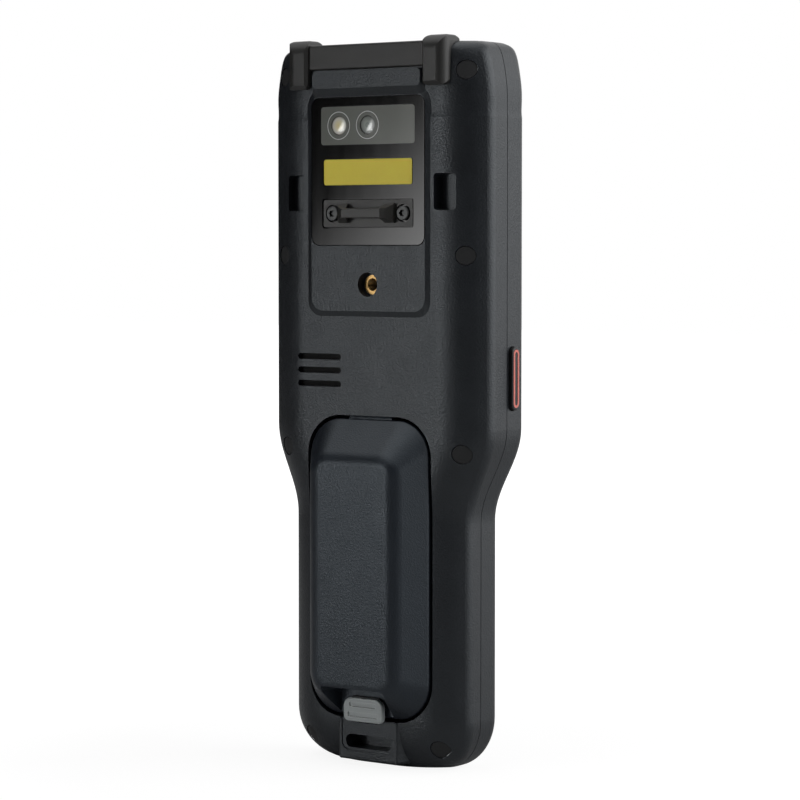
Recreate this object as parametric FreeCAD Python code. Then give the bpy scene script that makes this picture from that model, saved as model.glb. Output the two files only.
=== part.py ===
"""Handheld barcode data terminal, standing upright on its foot.

Frame: +Z runs from the foot to the scanning end, -Y is the keypad and display side, +Y the battery side.
The origin is on the standing surface, in the middle of the terminal's width and depth. Sizes are millimetres.
"""

import FreeCAD, Part
import math
import os

from FreeCAD import Vector

os.makedirs("parts", exist_ok=True)

# Driving dimensions of the casing
HEAD_HALF_WIDTH = 43.0
GRIP_HALF_WIDTH = 34.8
BODY_TOP = 233.9
BACK_Y = 8.8
HEAD_DEPTH = 27.6
GRIP_DEPTH = 24.8
HEAD_SEAM_DEPTH = 16.0
GRIP_SEAM_DEPTH = 13.5
WALL = 2.0
SEAM_GAP = 0.3
WAIST_LOW = 80.5
WAIST_HIGH = 110.5
BACK_ROUND = 21.7
BACK_ROUND_ANGLE = math.radians(45)
SIDE_ROUND = 4.4
FRONT_ROUND = 4.5
FOOT_ROUND_Z = 16.5
FOOT_ROUND_SIDE = 13.3
FOOT_ROUND_BACK = 7.0
FOOT_ROUND_FRONT = 5.0
SHOULDER_LOW = BODY_TOP - 24.0
SHOULDER_INSET = 3.9
TOP_ROUND = 3.0

# Driving dimensions of the bumper
HORN_IN = 22.8
HORN_OUT = 31.4
HORN_LOW = BODY_TOP - 14.1
HORN_TOP = BODY_TOP + 1.9
HORN_RISE = 3.1
HORN_REACH = 6.0
HORN_ROUND = 4.5
HORN_SIDE_ROUND = 3.6
HORN_CORNER = 1.9
BUMPER_BAR_LOW = BODY_TOP - 8.0
BUMPER_BAR_TOP = BODY_TOP + 0.1
BUMPER_BAR_RISE = 1.5

# Driving dimensions of the raised back areas
PAD_HALF_WIDTH = 25.5
PAD_LOW = 145.1
PAD_HIGH = 221.0
PAD_BORDER = 2.9
PAD_RISE = 0.6
PAD_CORNER = 5.5
BROW_HALF_WIDTH = 22.6
BROW_LOW = 214.9
BROW_HIGH = BUMPER_BAR_LOW - 0.3
BROW_SLOPE = 5.0
BROW_RISE = 1.7

# Driving dimensions of the rear panel and what it carries
PANEL_HALF_WIDTH = 22.5
PANEL_LOW = 169.2
PANEL_HIGH = 217.0
PANEL_CORNER = 3.0
PANEL_THICK = 1.6
PANEL_GAP = 0.15
WINDOW_HALF_WIDTH = 18.6
WINDOW_LOW = 201.7
WINDOW_HIGH = 214.0
WINDOW_THICK = 0.9
LENS_X = 0.0
FLASH_X = 11.5
OPTICS_Z = 207.9
PORT_RADIUS = 3.0
LENS_RADIUS = 2.95
LENS_RISE = 0.3
LABEL_HALF_WIDTH = 17.5
LABEL_LOW = 188.7
LABEL_HIGH = 197.0
LABEL_THICK = 0.25
LABEL_GAP = 0.4
SEAT_GAP = 0.12
PLATE_HALF_WIDTH = 17.9
PLATE_LOW = 175.0
PLATE_HIGH = 184.1
PLATE_THICK = 1.0
PLATE_SEAT_GAP = 0.3
BAR_SCREW_X = 14.0
BAR_HEIGHT = 4.2
BAR_THICK = 1.3
BAR_WIDTH = 3.2
BAR_FOOT_WIDTH = 6.2
BAR_FOOT_OUT = 11.0
BAR_FOOT_IN = 7.8
BAR_HALF_SPAN = 7.7

# Driving dimensions of the battery pack and its latch
PACK_HALF_WIDTH = 23.5
PACK_LOW = 16.5
PACK_HIGH = 113.1
PACK_CORNER = 12.0
PACK_RISE = 10.0
PACK_TOP_HALF_WIDTH = 16.4
PACK_TOP_LOW = 25.0
PACK_TOP_HIGH = 101.0
PACK_TOP_CORNER = 6.5
PACK_TOP_ROUND = 6.5
PACK_WALL = 1.6
PACK_GAP = 1.1
WELL_DEPTH = 9.2
WELL_WALL = 1.5
SCOOP_HALF_WIDTH = 10.5
SCOOP_TOP = 25.2
SCOOP_FLARE_SIDE = 2.5
SCOOP_FLARE_TOP = 1.5
SCOOP_FLOOR_RISE = 0.7
LATCH_HALF_WIDTH = 7.8
LATCH_LOW = 14.9
LATCH_HIGH = 22.7
LATCH_FACE_RISE = 3.4
LATCH_CAP_THICK = 1.6
LATCH_TRAVEL = 2.0
TONGUE_HALF_WIDTH = 4.0
TONGUE_LENGTH = 1.0
TONGUE_THICK = 1.4
TONGUE_SINK = 2.0
PIVOT_Y = BACK_Y - 3.0
PIVOT_RADIUS = 1.9
PIVOT_CLEARANCE = 0.1
PIVOT_HALF_WIDTH = 8.5
PIVOT_WALL = 1.4
CELL_HALF_WIDTH = 15.8
CELL_THICK = 13.0
CELL_HEIGHT = 29.5

# Driving dimensions of the foot tab and the strap openings
TAB_HALF_WIDTH = 11.6
TAB_TOP = 15.4
TAB_LOW = 1.7
TAB_RISE = 0.5
TAB_FLARE = 6.0
STRAP_SLOT_HALF_WIDTH = 9.1
STRAP_SLOT_Z = 7.9
STRAP_SLOT_HEIGHT = 4.4
STRAP_SLOT_DEPTH = 6.5
POCKET_IN = 25.6
POCKET_OUT = 33.4
POCKET_LOW = 180.4
POCKET_HIGH = 192.1
POCKET_DEPTH = 4.6
POCKET_WALL = 1.2

# Screws, plugs and the handle insert
SCREW_PLACES = [(36.1, 224.5), (36.1, 166.0), (34.85, 103.0), (25.9, 7.4)]
PLUG_RADIUS = 2.9
PLUG_CLEARANCE = 0.2
PLUG_DEPTH = 2.2
PLUG_SINK = 0.2
BOSS_RADIUS = 3.7
CASE_SCREW_RADIUS = 1.25
CASE_SCREW_HEAD_RADIUS = 2.3
CASE_SCREW_HEAD = 1.8
FRONT_BOSS_RADIUS = 3.4
INSERT_Z = 156.6
INSERT_HOLE_RADIUS = 3.9
INSERT_RADIUS = 3.2
INSERT_THREAD_RADIUS = 1.65
INSERT_LENGTH = 6.0
INSERT_SINK = 2.2

# Driving dimensions of the scan window
SCAN_HALF_WIDTH = 19.5
SCAN_BACK = 4.0
SCAN_FRONT = 17.0
SCAN_SINK = 1.5
SCAN_THICK = 1.6

# Loudspeaker slots
SPEAKER_X = HEAD_HALF_WIDTH - 23.05
SPEAKER_Z = 128.6
SPEAKER_PITCH = 4.4
SPEAKER_SLOT_LENGTH = 17.6
SPEAKER_SLOT_HEIGHT = 2.0
SPEAKER_THICK = 3.4

# Display side
GLASS_BORDER = 10.0
GLASS_HALF_WIDTH = HEAD_HALF_WIDTH - GLASS_BORDER
GLASS_LOW = 121.5
GLASS_HIGH = 220.5
GLASS_CORNER = 3.5
GLASS_THICK = 1.5
GLASS_SINK = 0.4
GLASS_GAP = 0.15
DISPLAY_BORDER = 4.0
DISPLAY_HALF_WIDTH = GLASS_HALF_WIDTH - DISPLAY_BORDER
DISPLAY_LOW = 126.0
DISPLAY_HIGH = 216.0
DISPLAY_THICK = 3.2
STATUS_X = 16.0
STATUS_Z = 226.2

# Keys
KEY_RISE = 1.5
KEY_GAP = 0.25
KEY_TRAVEL = 0.8
KEY_FLANGE = 0.7
KEY_FLANGE_THICK = 0.8
KEY_PITCH_X = 18.4
KEY_SIZE = (15.0, 10.4)
KEY_PITCH_Z = 14.6
DIGIT_ROW_LOW = 34.8
SCAN_KEY_SIZE = (22.0, 13.4)
SCAN_KEY_Z = 108.6
ARROW_KEY_X = 21.0
ARROW_KEY_WIDTH = 11.6
MAT_Y = -12.2
MAT_THICK = 1.0
MAT_HALF_WIDTH = 28.6
MAT_LOW = 25.0
MAT_HIGH = 117.6
BOARD_THICK = 1.2
MAIN_BOARD_Y = -8.5

# Side keys
SIDE_KEY_Z = 126.7
SIDE_KEY_HEIGHT = 20.4
SIDE_KEY_WIDTH = 4.2
SIDE_KEY_DEPTH = 19.2
SIDE_KEY_RISE = 1.4
SIDE_KEY_TRAVEL = 0.8
SIDE_KEY_GAP = 0.2

# Dock connector in the foot
DOCK_HALF_WIDTH = 13.0
DOCK_Y = -7.6
DOCK_WIDTH_Y = 4.2
DOCK_SINK = 0.8
DOCK_HEIGHT = 7.0

FRONT_HEAD_Y = BACK_Y - HEAD_DEPTH
FRONT_GRIP_Y = BACK_Y - GRIP_DEPTH
WELL_FLOOR_Y = BACK_Y - WELL_DEPTH


def rounded_outline(width, height, radius):
    """Closed wire of a rounded rectangle centred on the origin, in the XY plane."""
    a, b = width / 2, height / 2
    r = min(radius, a - 0.01, b - 0.01)
    bow = r * (1 - math.sqrt(0.5))
    corners = [(a, b, 1, 1), (-a, b, -1, 1), (-a, -b, -1, -1), (a, -b, 1, -1)]
    edges = []
    first = last = None
    for x, y, sx, sy in corners:
        side, level = Vector(x, y - sy * r, 0), Vector(x - sx * r, y, 0)
        start, end = (side, level) if sx * sy > 0 else (level, side)
        middle = Vector(x - sx * bow, y - sy * bow, 0)
        if last is not None:
            edges.append(Part.makeLine(last, start))
        edges.append(Part.Arc(start, middle, end).toShape())
        first = first or start
        last = end
    edges.append(Part.makeLine(last, first))
    return Part.Wire(edges)


def standing(shape):
    """Turns a shape drawn in XY so that its drawing's Y becomes Z and its height becomes -Y."""
    return shape.rotate(Vector(0, 0, 0), Vector(1, 0, 0), 90)


def block_y(x, z, width, height, radius, y_low, y_high):
    """Rounded bar along Y: its outline lies in XZ, centred on x and z."""
    wire = standing(rounded_outline(width, height, radius))
    wire.translate(Vector(x, y_low, z))
    return Part.Face(wire).extrude(Vector(0, y_high - y_low, 0))


def block_x(y, z, width, height, radius, x_low, x_high):
    """Rounded bar along X: its outline lies in YZ, centred on y and z."""
    wire = standing(rounded_outline(width, height, radius))
    wire = wire.rotate(Vector(0, 0, 0), Vector(0, 0, 1), 90)
    wire.translate(Vector(x_low, y, z))
    return Part.Face(wire).extrude(Vector(x_high - x_low, 0, 0))


def block_z(x, y, width, depth, radius, z_low, z_high):
    """Rounded bar along Z: its outline lies in XY, centred on x and y."""
    wire = rounded_outline(width, depth, radius)
    wire.translate(Vector(x, y, z_low))
    return Part.Face(wire).extrude(Vector(0, 0, z_high - z_low))


def tapered_y(z_low, z_high, half_width, corner, y_low, z_low_far, z_high_far, half_far, corner_far, y_high):
    """Rounded outline at y_low drawn over to another one at y_high, both centred on x = 0."""
    near = standing(rounded_outline(2 * half_width, z_high - z_low, corner))
    near.translate(Vector(0, y_low, (z_low + z_high) / 2))
    far = standing(rounded_outline(2 * half_far, z_high_far - z_low_far, corner_far))
    far.translate(Vector(0, y_high, (z_low_far + z_high_far) / 2))
    return Part.makeLoft([near, far], True, True)


def rod_y(x, z, radius, y_low, y_high):
    return Part.makeCylinder(radius, y_high - y_low, Vector(x, y_low, z), Vector(0, 1, 0))


def fused(pieces):
    """One solid from overlapping or touching pieces."""
    whole = pieces[0].multiFuse(pieces[1:]) if len(pieces) > 1 else pieces[0]
    return whole.removeSplitter()


def soften(shape, radius, chosen):
    """Rounds the edges for which chosen(edge) is true."""
    edges = [e for e in shape.Edges if chosen(e)]
    return shape.makeFillet(radius, edges) if edges else shape


def edges_at_y(y, tolerance=0.01):
    """Picks edges that lie wholly in one plane across Y."""
    def chosen(edge):
        box = edge.BoundBox
        return abs(box.YMin - y) < tolerance and abs(box.YMax - y) < tolerance
    return chosen


def ease(low, high, value):
    """0 at low, 1 at high, with a smooth start and stop."""
    t = min(max((value - low) / (high - low), 0), 1)
    return (1 - math.cos(math.pi * t)) / 2


def front_y(z):
    """Y of the casing's front face at a height."""
    return FRONT_GRIP_Y + (FRONT_HEAD_Y - FRONT_GRIP_Y) * ease(WAIST_LOW, WAIST_HIGH, z)


def seam_y(z):
    """Y of the joint between the two housings at a height."""
    share = ease(WAIST_LOW, WAIST_HIGH, z)
    return BACK_Y - (GRIP_SEAM_DEPTH + (HEAD_SEAM_DEPTH - GRIP_SEAM_DEPTH) * share)


def half_width(z):
    """Half the casing's width at a height, without the end roundings."""
    wide = GRIP_HALF_WIDTH + (HEAD_HALF_WIDTH - GRIP_HALF_WIDTH) * ease(WAIST_LOW, WAIST_HIGH, z)
    climb = max(z - SHOULDER_LOW, 0) / (BODY_TOP - SHOULDER_LOW)
    return wide - SHOULDER_INSET * climb ** 3


def section(z, side, back, front, inset, front_round):
    """Closed cross-section at z: flat back, wide back rounding, side, front rounding, flat front."""
    half = half_width(z) - side - inset
    back_face, front_face = BACK_Y - back - inset, front_y(z) + front + inset
    wide, tight = BACK_ROUND - inset, max(SIDE_ROUND - inset, 1.0)
    turn = BACK_ROUND_ANGLE
    flat = half - wide * math.sin(turn) - tight * (1 - math.sin(turn))
    centre1 = Vector(flat, back_face - wide, z)
    joint = centre1 + Vector(wide * math.sin(turn), wide * math.cos(turn), 0)
    centre2 = Vector(half - tight, joint.y - tight * math.cos(turn), z)
    bend = math.radians(90) - turn / 2

    def on_circle(centre, radius, angle):
        return centre + Vector(radius * math.cos(angle), radius * math.sin(angle), 0)

    right = [
        Vector(flat, back_face, z),
        on_circle(centre1, wide, bend),
        joint,
        on_circle(centre2, tight, (math.radians(90) - turn) / 2),
        Vector(half, centre2.y, z),
        Vector(half, front_face + front_round, z),
        on_circle(Vector(half - front_round, front_face + front_round, z), front_round, math.radians(-45)),
        Vector(half - front_round, front_face, z),
    ]
    left = [Vector(-p.x, p.y, p.z) for p in right]
    return Part.Wire([
        Part.makeLine(left[0], right[0]),
        Part.Arc(right[0], right[1], right[2]).toShape(),
        Part.Arc(right[2], right[3], right[4]).toShape(),
        Part.makeLine(right[4], right[5]),
        Part.Arc(right[5], right[6], right[7]).toShape(),
        Part.makeLine(right[7], left[7]),
        Part.Arc(left[7], left[6], left[5]).toShape(),
        Part.makeLine(left[5], left[4]),
        Part.Arc(left[4], left[3], left[2]).toShape(),
        Part.Arc(left[2], left[1], left[0]).toShape(),
    ])


def lofted(stations, inset, ruled):
    """Solid through cross-sections given as (z, side, back, front, front round)."""
    wires = [section(z, side, back, front, inset, tight) for z, side, back, front, tight in stations]
    return Part.makeLoft(wires, True, ruled)


def foot_stations(inset, front_round):
    """Cross-sections of the rounded foot, from the standing surface up."""
    steps = 6
    stations = []
    for k in range(steps + 1):
        angle = math.radians(90) * (1 - k / steps)
        draw = 1 - math.cos(angle)
        z = inset + (FOOT_ROUND_Z - inset) * (1 - math.sin(angle))
        tight = max(front_round - 2.0 * draw, 0.6)
        stations.append((z, FOOT_ROUND_SIDE * draw, FOOT_ROUND_BACK * draw, FOOT_ROUND_FRONT * draw, tight))
    return stations


def crown_stations(inset, front_round):
    """Cross-sections of the shoulders and the rounded top end."""
    ceiling = BODY_TOP - inset
    stations = []
    for share in (0, 0.3, 0.55, 0.78):
        z = SHOULDER_LOW + (ceiling - TOP_ROUND - SHOULDER_LOW) * share
        stations.append((z, 0, 0, 0, front_round))
    steps = 4
    for k in range(steps + 1):
        angle = math.radians(90) * k / steps
        draw = TOP_ROUND * (1 - math.cos(angle))
        z = ceiling - TOP_ROUND * (1 - math.sin(angle))
        stations.append((z, draw, draw, draw, front_round))
    return stations


def casing_solid(inset):
    """The casing's whole outer form, or its hollow when inset is the wall."""
    front_round = FRONT_ROUND - inset * 0.8
    steps = 8
    waist = [
        (WAIST_LOW + (WAIST_HIGH - WAIST_LOW) * k / steps, 0, 0, 0, front_round)
        for k in range(steps + 1)
    ]
    parts = [
        lofted(foot_stations(inset, front_round), inset, False),
        lofted([(z, 0, 0, 0, front_round) for z in (FOOT_ROUND_Z, WAIST_LOW)], inset, True),
        lofted(waist, inset, False),
        lofted([(z, 0, 0, 0, front_round) for z in (WAIST_HIGH, SHOULDER_LOW)], inset, True),
        lofted(crown_stations(inset, front_round), inset, False),
    ]
    return fused(parts)


def front_space(offset):
    """Everything on the front side of the seam, moved by offset along Y."""
    steps = 10
    reach = 100.0
    low, high = Vector(-reach, seam_y(0) + offset, -10), Vector(-reach, seam_y(300) + offset, 300)
    bend = [
        Vector(-reach, seam_y(z) + offset, z)
        for z in [WAIST_LOW + (WAIST_HIGH - WAIST_LOW) * k / steps for k in range(steps + 1)]
    ]
    curve = Part.BSplineCurve()
    curve.interpolate(bend)
    wire = Part.Wire([
        Part.makeLine(low, bend[0]),
        curve.toShape(),
        Part.makeLine(bend[-1], high),
        Part.makeLine(high, Vector(-reach, -reach, 300)),
        Part.makeLine(Vector(-reach, -reach, 300), Vector(-reach, -reach, -10)),
        Part.makeLine(Vector(-reach, -reach, -10), low),
    ])
    return Part.Face(wire).extrude(Vector(2 * reach, 0, 0))


CASING = casing_solid(0)
HOLLOW = casing_solid(WALL)


def surface_y(x, z):
    """Y of the casing's back surface above a point."""
    line = Part.makeLine(Vector(x, -5, z), Vector(x, 60, z))
    inside = line.common(CASING)
    return inside.BoundBox.YMax


PLUG_SEATS = [(x, z, surface_y(x, z) - PLUG_DEPTH) for x, z in SCREW_PLACES]


def mirrored_places():
    """Screw places on both sides, with the Y of the plug's seat."""
    return [(side * x, z, seat) for x, z, seat in PLUG_SEATS for side in (1, -1)]


def pack_prism(grow, y_low, y_high):
    """The battery pack's outline in XZ, grown all round."""
    return block_y(
        0, (PACK_LOW + PACK_HIGH) / 2, 2 * (PACK_HALF_WIDTH + grow), PACK_HIGH - PACK_LOW + 2 * grow,
        PACK_CORNER + grow, y_low, y_high)


def rear_pads():
    """The low pad round the rear panel and the brow above it."""
    pad = tapered_y(
        PAD_LOW, PAD_HIGH, PAD_HALF_WIDTH, PAD_CORNER, BACK_Y - 0.4,
        PAD_LOW + PAD_BORDER, PAD_HIGH - PAD_BORDER, PAD_HALF_WIDTH - PAD_BORDER, PAD_CORNER - 1.2, BACK_Y + PAD_RISE)
    brow = tapered_y(
        BROW_LOW, BROW_HIGH, BROW_HALF_WIDTH, 2.5, BACK_Y - 0.4,
        BROW_LOW + BROW_SLOPE, BROW_HIGH - 0.1, BROW_HALF_WIDTH - 1.2, 1.6, BACK_Y + BROW_RISE)
    return [pad, brow]


def foot_tab():
    """Raised block below the battery pack, flared towards the casing, which carries the strap slot."""
    face = BACK_Y + TAB_RISE
    tab = tapered_y(
        TAB_LOW, TAB_TOP, TAB_HALF_WIDTH + TAB_FLARE, 1.5, face - 9.0,
        TAB_LOW, TAB_TOP, TAB_HALF_WIDTH, 0.8, face)
    return soften(tab, 0.6, edges_at_y(face))


def tab_recess():
    """Shallow field on the tab round the latch and the strap slot."""
    low, high = STRAP_SLOT_Z - STRAP_SLOT_HEIGHT / 2 - 1.0, TAB_TOP + 6
    return block_y(
        0, (low + high) / 2, 2 * (TAB_HALF_WIDTH - 1.0), high - low, 3.0, BACK_Y + TAB_RISE - 0.35, BACK_Y + 5)


def make_rear_housing():
    shell = CASING.cut(front_space(SEAM_GAP / 2)).cut(HOLLOW)
    inside = CASING.cut(front_space(SEAM_GAP / 2))
    well = pack_prism(PACK_GAP + WELL_WALL, WELL_FLOOR_Y - WELL_WALL, BACK_Y + 5).common(inside)
    extra = [well, foot_tab()] + rear_pads()
    for x, z, seat in mirrored_places():
        boss = rod_y(x, z, BOSS_RADIUS, seam_y(z) + SEAM_GAP / 2, seat + 1)
        extra.append(boss.common(inside))
    pocket_mid, pocket_z = (POCKET_IN + POCKET_OUT) / 2, (POCKET_LOW + POCKET_HIGH) / 2
    pocket_width, pocket_height = POCKET_OUT - POCKET_IN, POCKET_HIGH - POCKET_LOW
    for side in (1, -1):
        extra.append(block_y(
            side * pocket_mid, pocket_z, pocket_width + 2 * POCKET_WALL, pocket_height + 2 * POCKET_WALL,
            1.5, BACK_Y - POCKET_DEPTH - POCKET_WALL, BACK_Y + 1).common(inside))
    slot_block = block_y(
        0, STRAP_SLOT_Z, 2 * STRAP_SLOT_HALF_WIDTH + 3, STRAP_SLOT_HEIGHT + 3, 2.5,
        BACK_Y - STRAP_SLOT_DEPTH - 1.5, BACK_Y)
    extra.append(slot_block)
    extra.append(rod_y(0, INSERT_Z, INSERT_RADIUS + 1.8, BACK_Y - INSERT_SINK - INSERT_LENGTH, BACK_Y - 0.5))
    socket_half = PIVOT_HALF_WIDTH + PIVOT_WALL
    extra.append(pivot_rod(PIVOT_RADIUS + PIVOT_WALL, socket_half).common(inside))
    body = fused([shell] + extra)
    cuts = [
        pack_prism(PACK_GAP, WELL_FLOOR_Y, BACK_Y + 30),
        tab_recess(),
        block_y(0, STRAP_SLOT_Z, 2 * STRAP_SLOT_HALF_WIDTH, STRAP_SLOT_HEIGHT, 2.1,
                BACK_Y - STRAP_SLOT_DEPTH, BACK_Y + 5),
        block_y(0, (PANEL_LOW + PANEL_HIGH) / 2, 2 * (PANEL_HALF_WIDTH + PANEL_GAP),
                PANEL_HIGH - PANEL_LOW + 2 * PANEL_GAP, PANEL_CORNER + PANEL_GAP,
                BACK_Y + PAD_RISE - PANEL_THICK, BACK_Y + 5),
        rod_y(LENS_X, OPTICS_Z, PORT_RADIUS + 1.6, BACK_Y - WALL - 1, BACK_Y),
        rod_y(FLASH_X, OPTICS_Z, PORT_RADIUS + 1.6, BACK_Y - WALL - 1, BACK_Y),
        rod_y(0, INSERT_Z, INSERT_HOLE_RADIUS, BACK_Y - INSERT_SINK, BACK_Y + 5),
        rod_y(0, INSERT_Z, INSERT_RADIUS, BACK_Y - INSERT_SINK - INSERT_LENGTH - 1, BACK_Y),
        scan_hole(0.1),
    ]
    for side in (1, -1):
        cuts.append(block_y(side * pocket_mid, pocket_z, pocket_width, pocket_height, 1.2,
                            BACK_Y - POCKET_DEPTH, BACK_Y + 5))
    for k in (-1, 0, 1):
        level = SPEAKER_Z + k * SPEAKER_PITCH
        cuts.append(block_y(SPEAKER_X, level, SPEAKER_SLOT_LENGTH, SPEAKER_SLOT_HEIGHT, 0.99,
                            BACK_Y - WALL - 1, BACK_Y + 5))
    for x, z, seat in mirrored_places():
        cuts.append(rod_y(x, z, PLUG_RADIUS + PLUG_CLEARANCE, seat, BACK_Y + 5))
        cuts.append(rod_y(x, z, CASE_SCREW_HEAD_RADIUS + 0.1, seat - CASE_SCREW_HEAD, seat + 1))
        cuts.append(rod_y(x, z, CASE_SCREW_RADIUS + 0.1, seam_y(z) - 1, seat))
    cuts.append(contact_block_solid(0.1))
    cuts.append(block_y(0, TAB_TOP, 2 * TONGUE_HALF_WIDTH + 0.6, 2 * TONGUE_LENGTH + 0.6, 0.4,
                        BACK_Y - TONGUE_SINK - 0.3, BACK_Y + 5))
    cuts.append(pivot_rod(PIVOT_RADIUS + PIVOT_CLEARANCE, PIVOT_HALF_WIDTH + 0.3))
    return body.cut(cuts)


def scan_hole(clearance):
    """Opening in the top end for the scan window and the beam below it."""
    y = BACK_Y - (SCAN_BACK + SCAN_FRONT) / 2
    return block_z(0, y, 2 * (SCAN_HALF_WIDTH + clearance), SCAN_FRONT - SCAN_BACK + 2 * clearance, 2.0,
                   BODY_TOP - WALL - 4, BODY_TOP + 5)


def make_front_housing():
    shell = CASING.common(front_space(-SEAM_GAP / 2)).cut(HOLLOW)
    inside = CASING.common(front_space(-SEAM_GAP / 2))
    extra = []
    for x, z, seat in mirrored_places():
        boss = rod_y(x, z, FRONT_BOSS_RADIUS, front_y(z) + 0.5, seam_y(z) - SEAM_GAP / 2)
        extra.append(boss.common(inside))
    for x, z in BOARD_POSTS:
        extra.append(rod_y(x, z, 2.6, front_y(z) + 0.5, MAIN_BOARD_Y).common(inside))
    extra.append(mat_rib().common(inside))
    extra.append(glass_ledge())
    body = fused([shell] + extra)
    cuts = [glass_opening(), display_opening(), scan_hole(0.1), dock_hole(0.1)]
    for spec in KEYS:
        cuts.append(key_hole(spec))
    for side in (1, -1):
        cuts.append(side_key_hole(side))
    cuts.append(rod_y(STATUS_X, STATUS_Z, 1.3, FRONT_HEAD_Y - 2, FRONT_HEAD_Y + WALL + 1))
    cuts.append(rod_y(0, MIC_Z, 0.6, FRONT_GRIP_Y - 2, FRONT_GRIP_Y + WALL + 1))
    for x, z, seat in mirrored_places():
        cuts.append(rod_y(x, z, CASE_SCREW_RADIUS, front_y(z) + 3.0, seam_y(z) + 1))
    for x, z in BOARD_POSTS:
        cuts.append(rod_y(x, z, 1.0, MAIN_BOARD_Y - 4.0, MAIN_BOARD_Y + 1))
    return body.cut(cuts)


MIC_Z = 18.5
HEAD_POST_X = HEAD_HALF_WIDTH - 11.0
WING_POST_X = HEAD_HALF_WIDTH - 6.0
WING_POST_Z = 205.0
GRIP_POST_X = 23.0
BOARD_POSTS = [
    (side * x, z)
    for x, z in ((HEAD_POST_X, 118.5), (GRIP_POST_X, 19.5), (WING_POST_X, WING_POST_Z))
    for side in (1, -1)
]


def mat_rib():
    """Rim inside the front housing that presses on the keypad mat's border."""
    z, height = (MAT_LOW + MAT_HIGH) / 2, MAT_HIGH - MAT_LOW
    outer = block_y(0, z, 2 * MAT_HALF_WIDTH, height, 3.0, FRONT_HEAD_Y + 0.5, MAT_Y)
    inner = block_y(0, z, 2 * MAT_HALF_WIDTH - 2.0, height - 2.0, 2.2, FRONT_HEAD_Y, MAT_Y + 1)
    return outer.cut(inner)


def glass_ledge():
    """Thickened frame in the front wall on which the touch glass is bonded."""
    z, height = (GLASS_LOW + GLASS_HIGH) / 2, GLASS_HIGH - GLASS_LOW
    return block_y(0, z, 2 * GLASS_HALF_WIDTH + 4, height + 4, GLASS_CORNER + 2,
                   FRONT_HEAD_Y + 1.0, FRONT_HEAD_Y + 3.4)


def glass_opening():
    z, height = (GLASS_LOW + GLASS_HIGH) / 2, GLASS_HIGH - GLASS_LOW
    return block_y(0, z, 2 * (GLASS_HALF_WIDTH + GLASS_GAP), height + 2 * GLASS_GAP, GLASS_CORNER,
                   FRONT_HEAD_Y - 3, FRONT_HEAD_Y + GLASS_SINK + GLASS_THICK)


def display_opening():
    z, height = (DISPLAY_LOW + DISPLAY_HIGH) / 2, DISPLAY_HIGH - DISPLAY_LOW
    return block_y(0, z, 2 * DISPLAY_HALF_WIDTH + 0.4, height + 0.4, 1.0, FRONT_HEAD_Y - 3, FRONT_HEAD_Y + 8)


def dock_hole(clearance):
    return block_z(0, DOCK_Y, 2 * (DOCK_HALF_WIDTH + clearance), DOCK_WIDTH_Y + 2 * clearance, 1.2, -3, WALL + 2)


def make_dock_connector():
    body = block_z(0, DOCK_Y, 2 * DOCK_HALF_WIDTH, DOCK_WIDTH_Y, 1.1, DOCK_SINK, DOCK_HEIGHT)
    flange = block_z(0, DOCK_Y, 2 * DOCK_HALF_WIDTH + 4, DOCK_WIDTH_Y + 0.4, 1.1, WALL + 1.0, WALL + 2.4)
    body = fused([body, flange])
    wells = []
    for k in range(10):
        x = (k - 4.5) * 2.4
        wells.append(Part.makeBox(1.3, 2.6, 1.0, Vector(x - 0.65, DOCK_Y - 1.3, DOCK_SINK - 0.5)))
    return body.cut(wells)


def make_dock_contacts():
    """Ten gold pads in the dock connector's wells."""
    pads = []
    for k in range(10):
        x = (k - 4.5) * 2.4
        pads.append(Part.makeBox(1.3, 2.6, 0.3, Vector(x - 0.65, DOCK_Y - 1.3, DOCK_SINK + 0.2)))
    return Part.makeCompound(pads)


def make_housing_seal():
    """Rubber cord between the two housings, just inside the seam."""
    band = front_space(SEAM_GAP / 2).cut(front_space(-SEAM_GAP / 2))
    return casing_ring(0.8, WALL - 0.2).common(band).cut(scan_hole(0.1))


def casing_ring(outer_inset, inner_inset):
    return casing_solid(outer_inset).cut(casing_solid(inner_inset))


def horn_plan(side):
    """The horn seen from above: its outer back corner is widely rounded, its inner one cut off."""
    back, front = BACK_Y + HORN_RISE, BACK_Y - HORN_REACH
    r = HORN_SIDE_ROUND
    bow = r * (1 - math.sqrt(0.5))
    outer, inner = side * HORN_OUT, side * HORN_IN
    wire = Part.Wire([
        Part.makeLine(Vector(inner, front, 0), Vector(inner, back - 0.9, 0)),
        Part.makeLine(Vector(inner, back - 0.9, 0), Vector(inner + side * 0.9, back, 0)),
        Part.makeLine(Vector(inner + side * 0.9, back, 0), Vector(outer - side * r, back, 0)),
        Part.Arc(Vector(outer - side * r, back, 0), Vector(outer - side * bow, back - bow, 0),
                 Vector(outer, back - r, 0)).toShape(),
        Part.makeLine(Vector(outer, back - r, 0), Vector(outer, front, 0)),
        Part.makeLine(Vector(outer, front, 0), Vector(inner, front, 0)),
    ])
    wire.translate(Vector(0, 0, HORN_LOW - 1))
    return Part.Face(wire).extrude(Vector(0, 0, HORN_TOP - HORN_LOW + 2))


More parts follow.
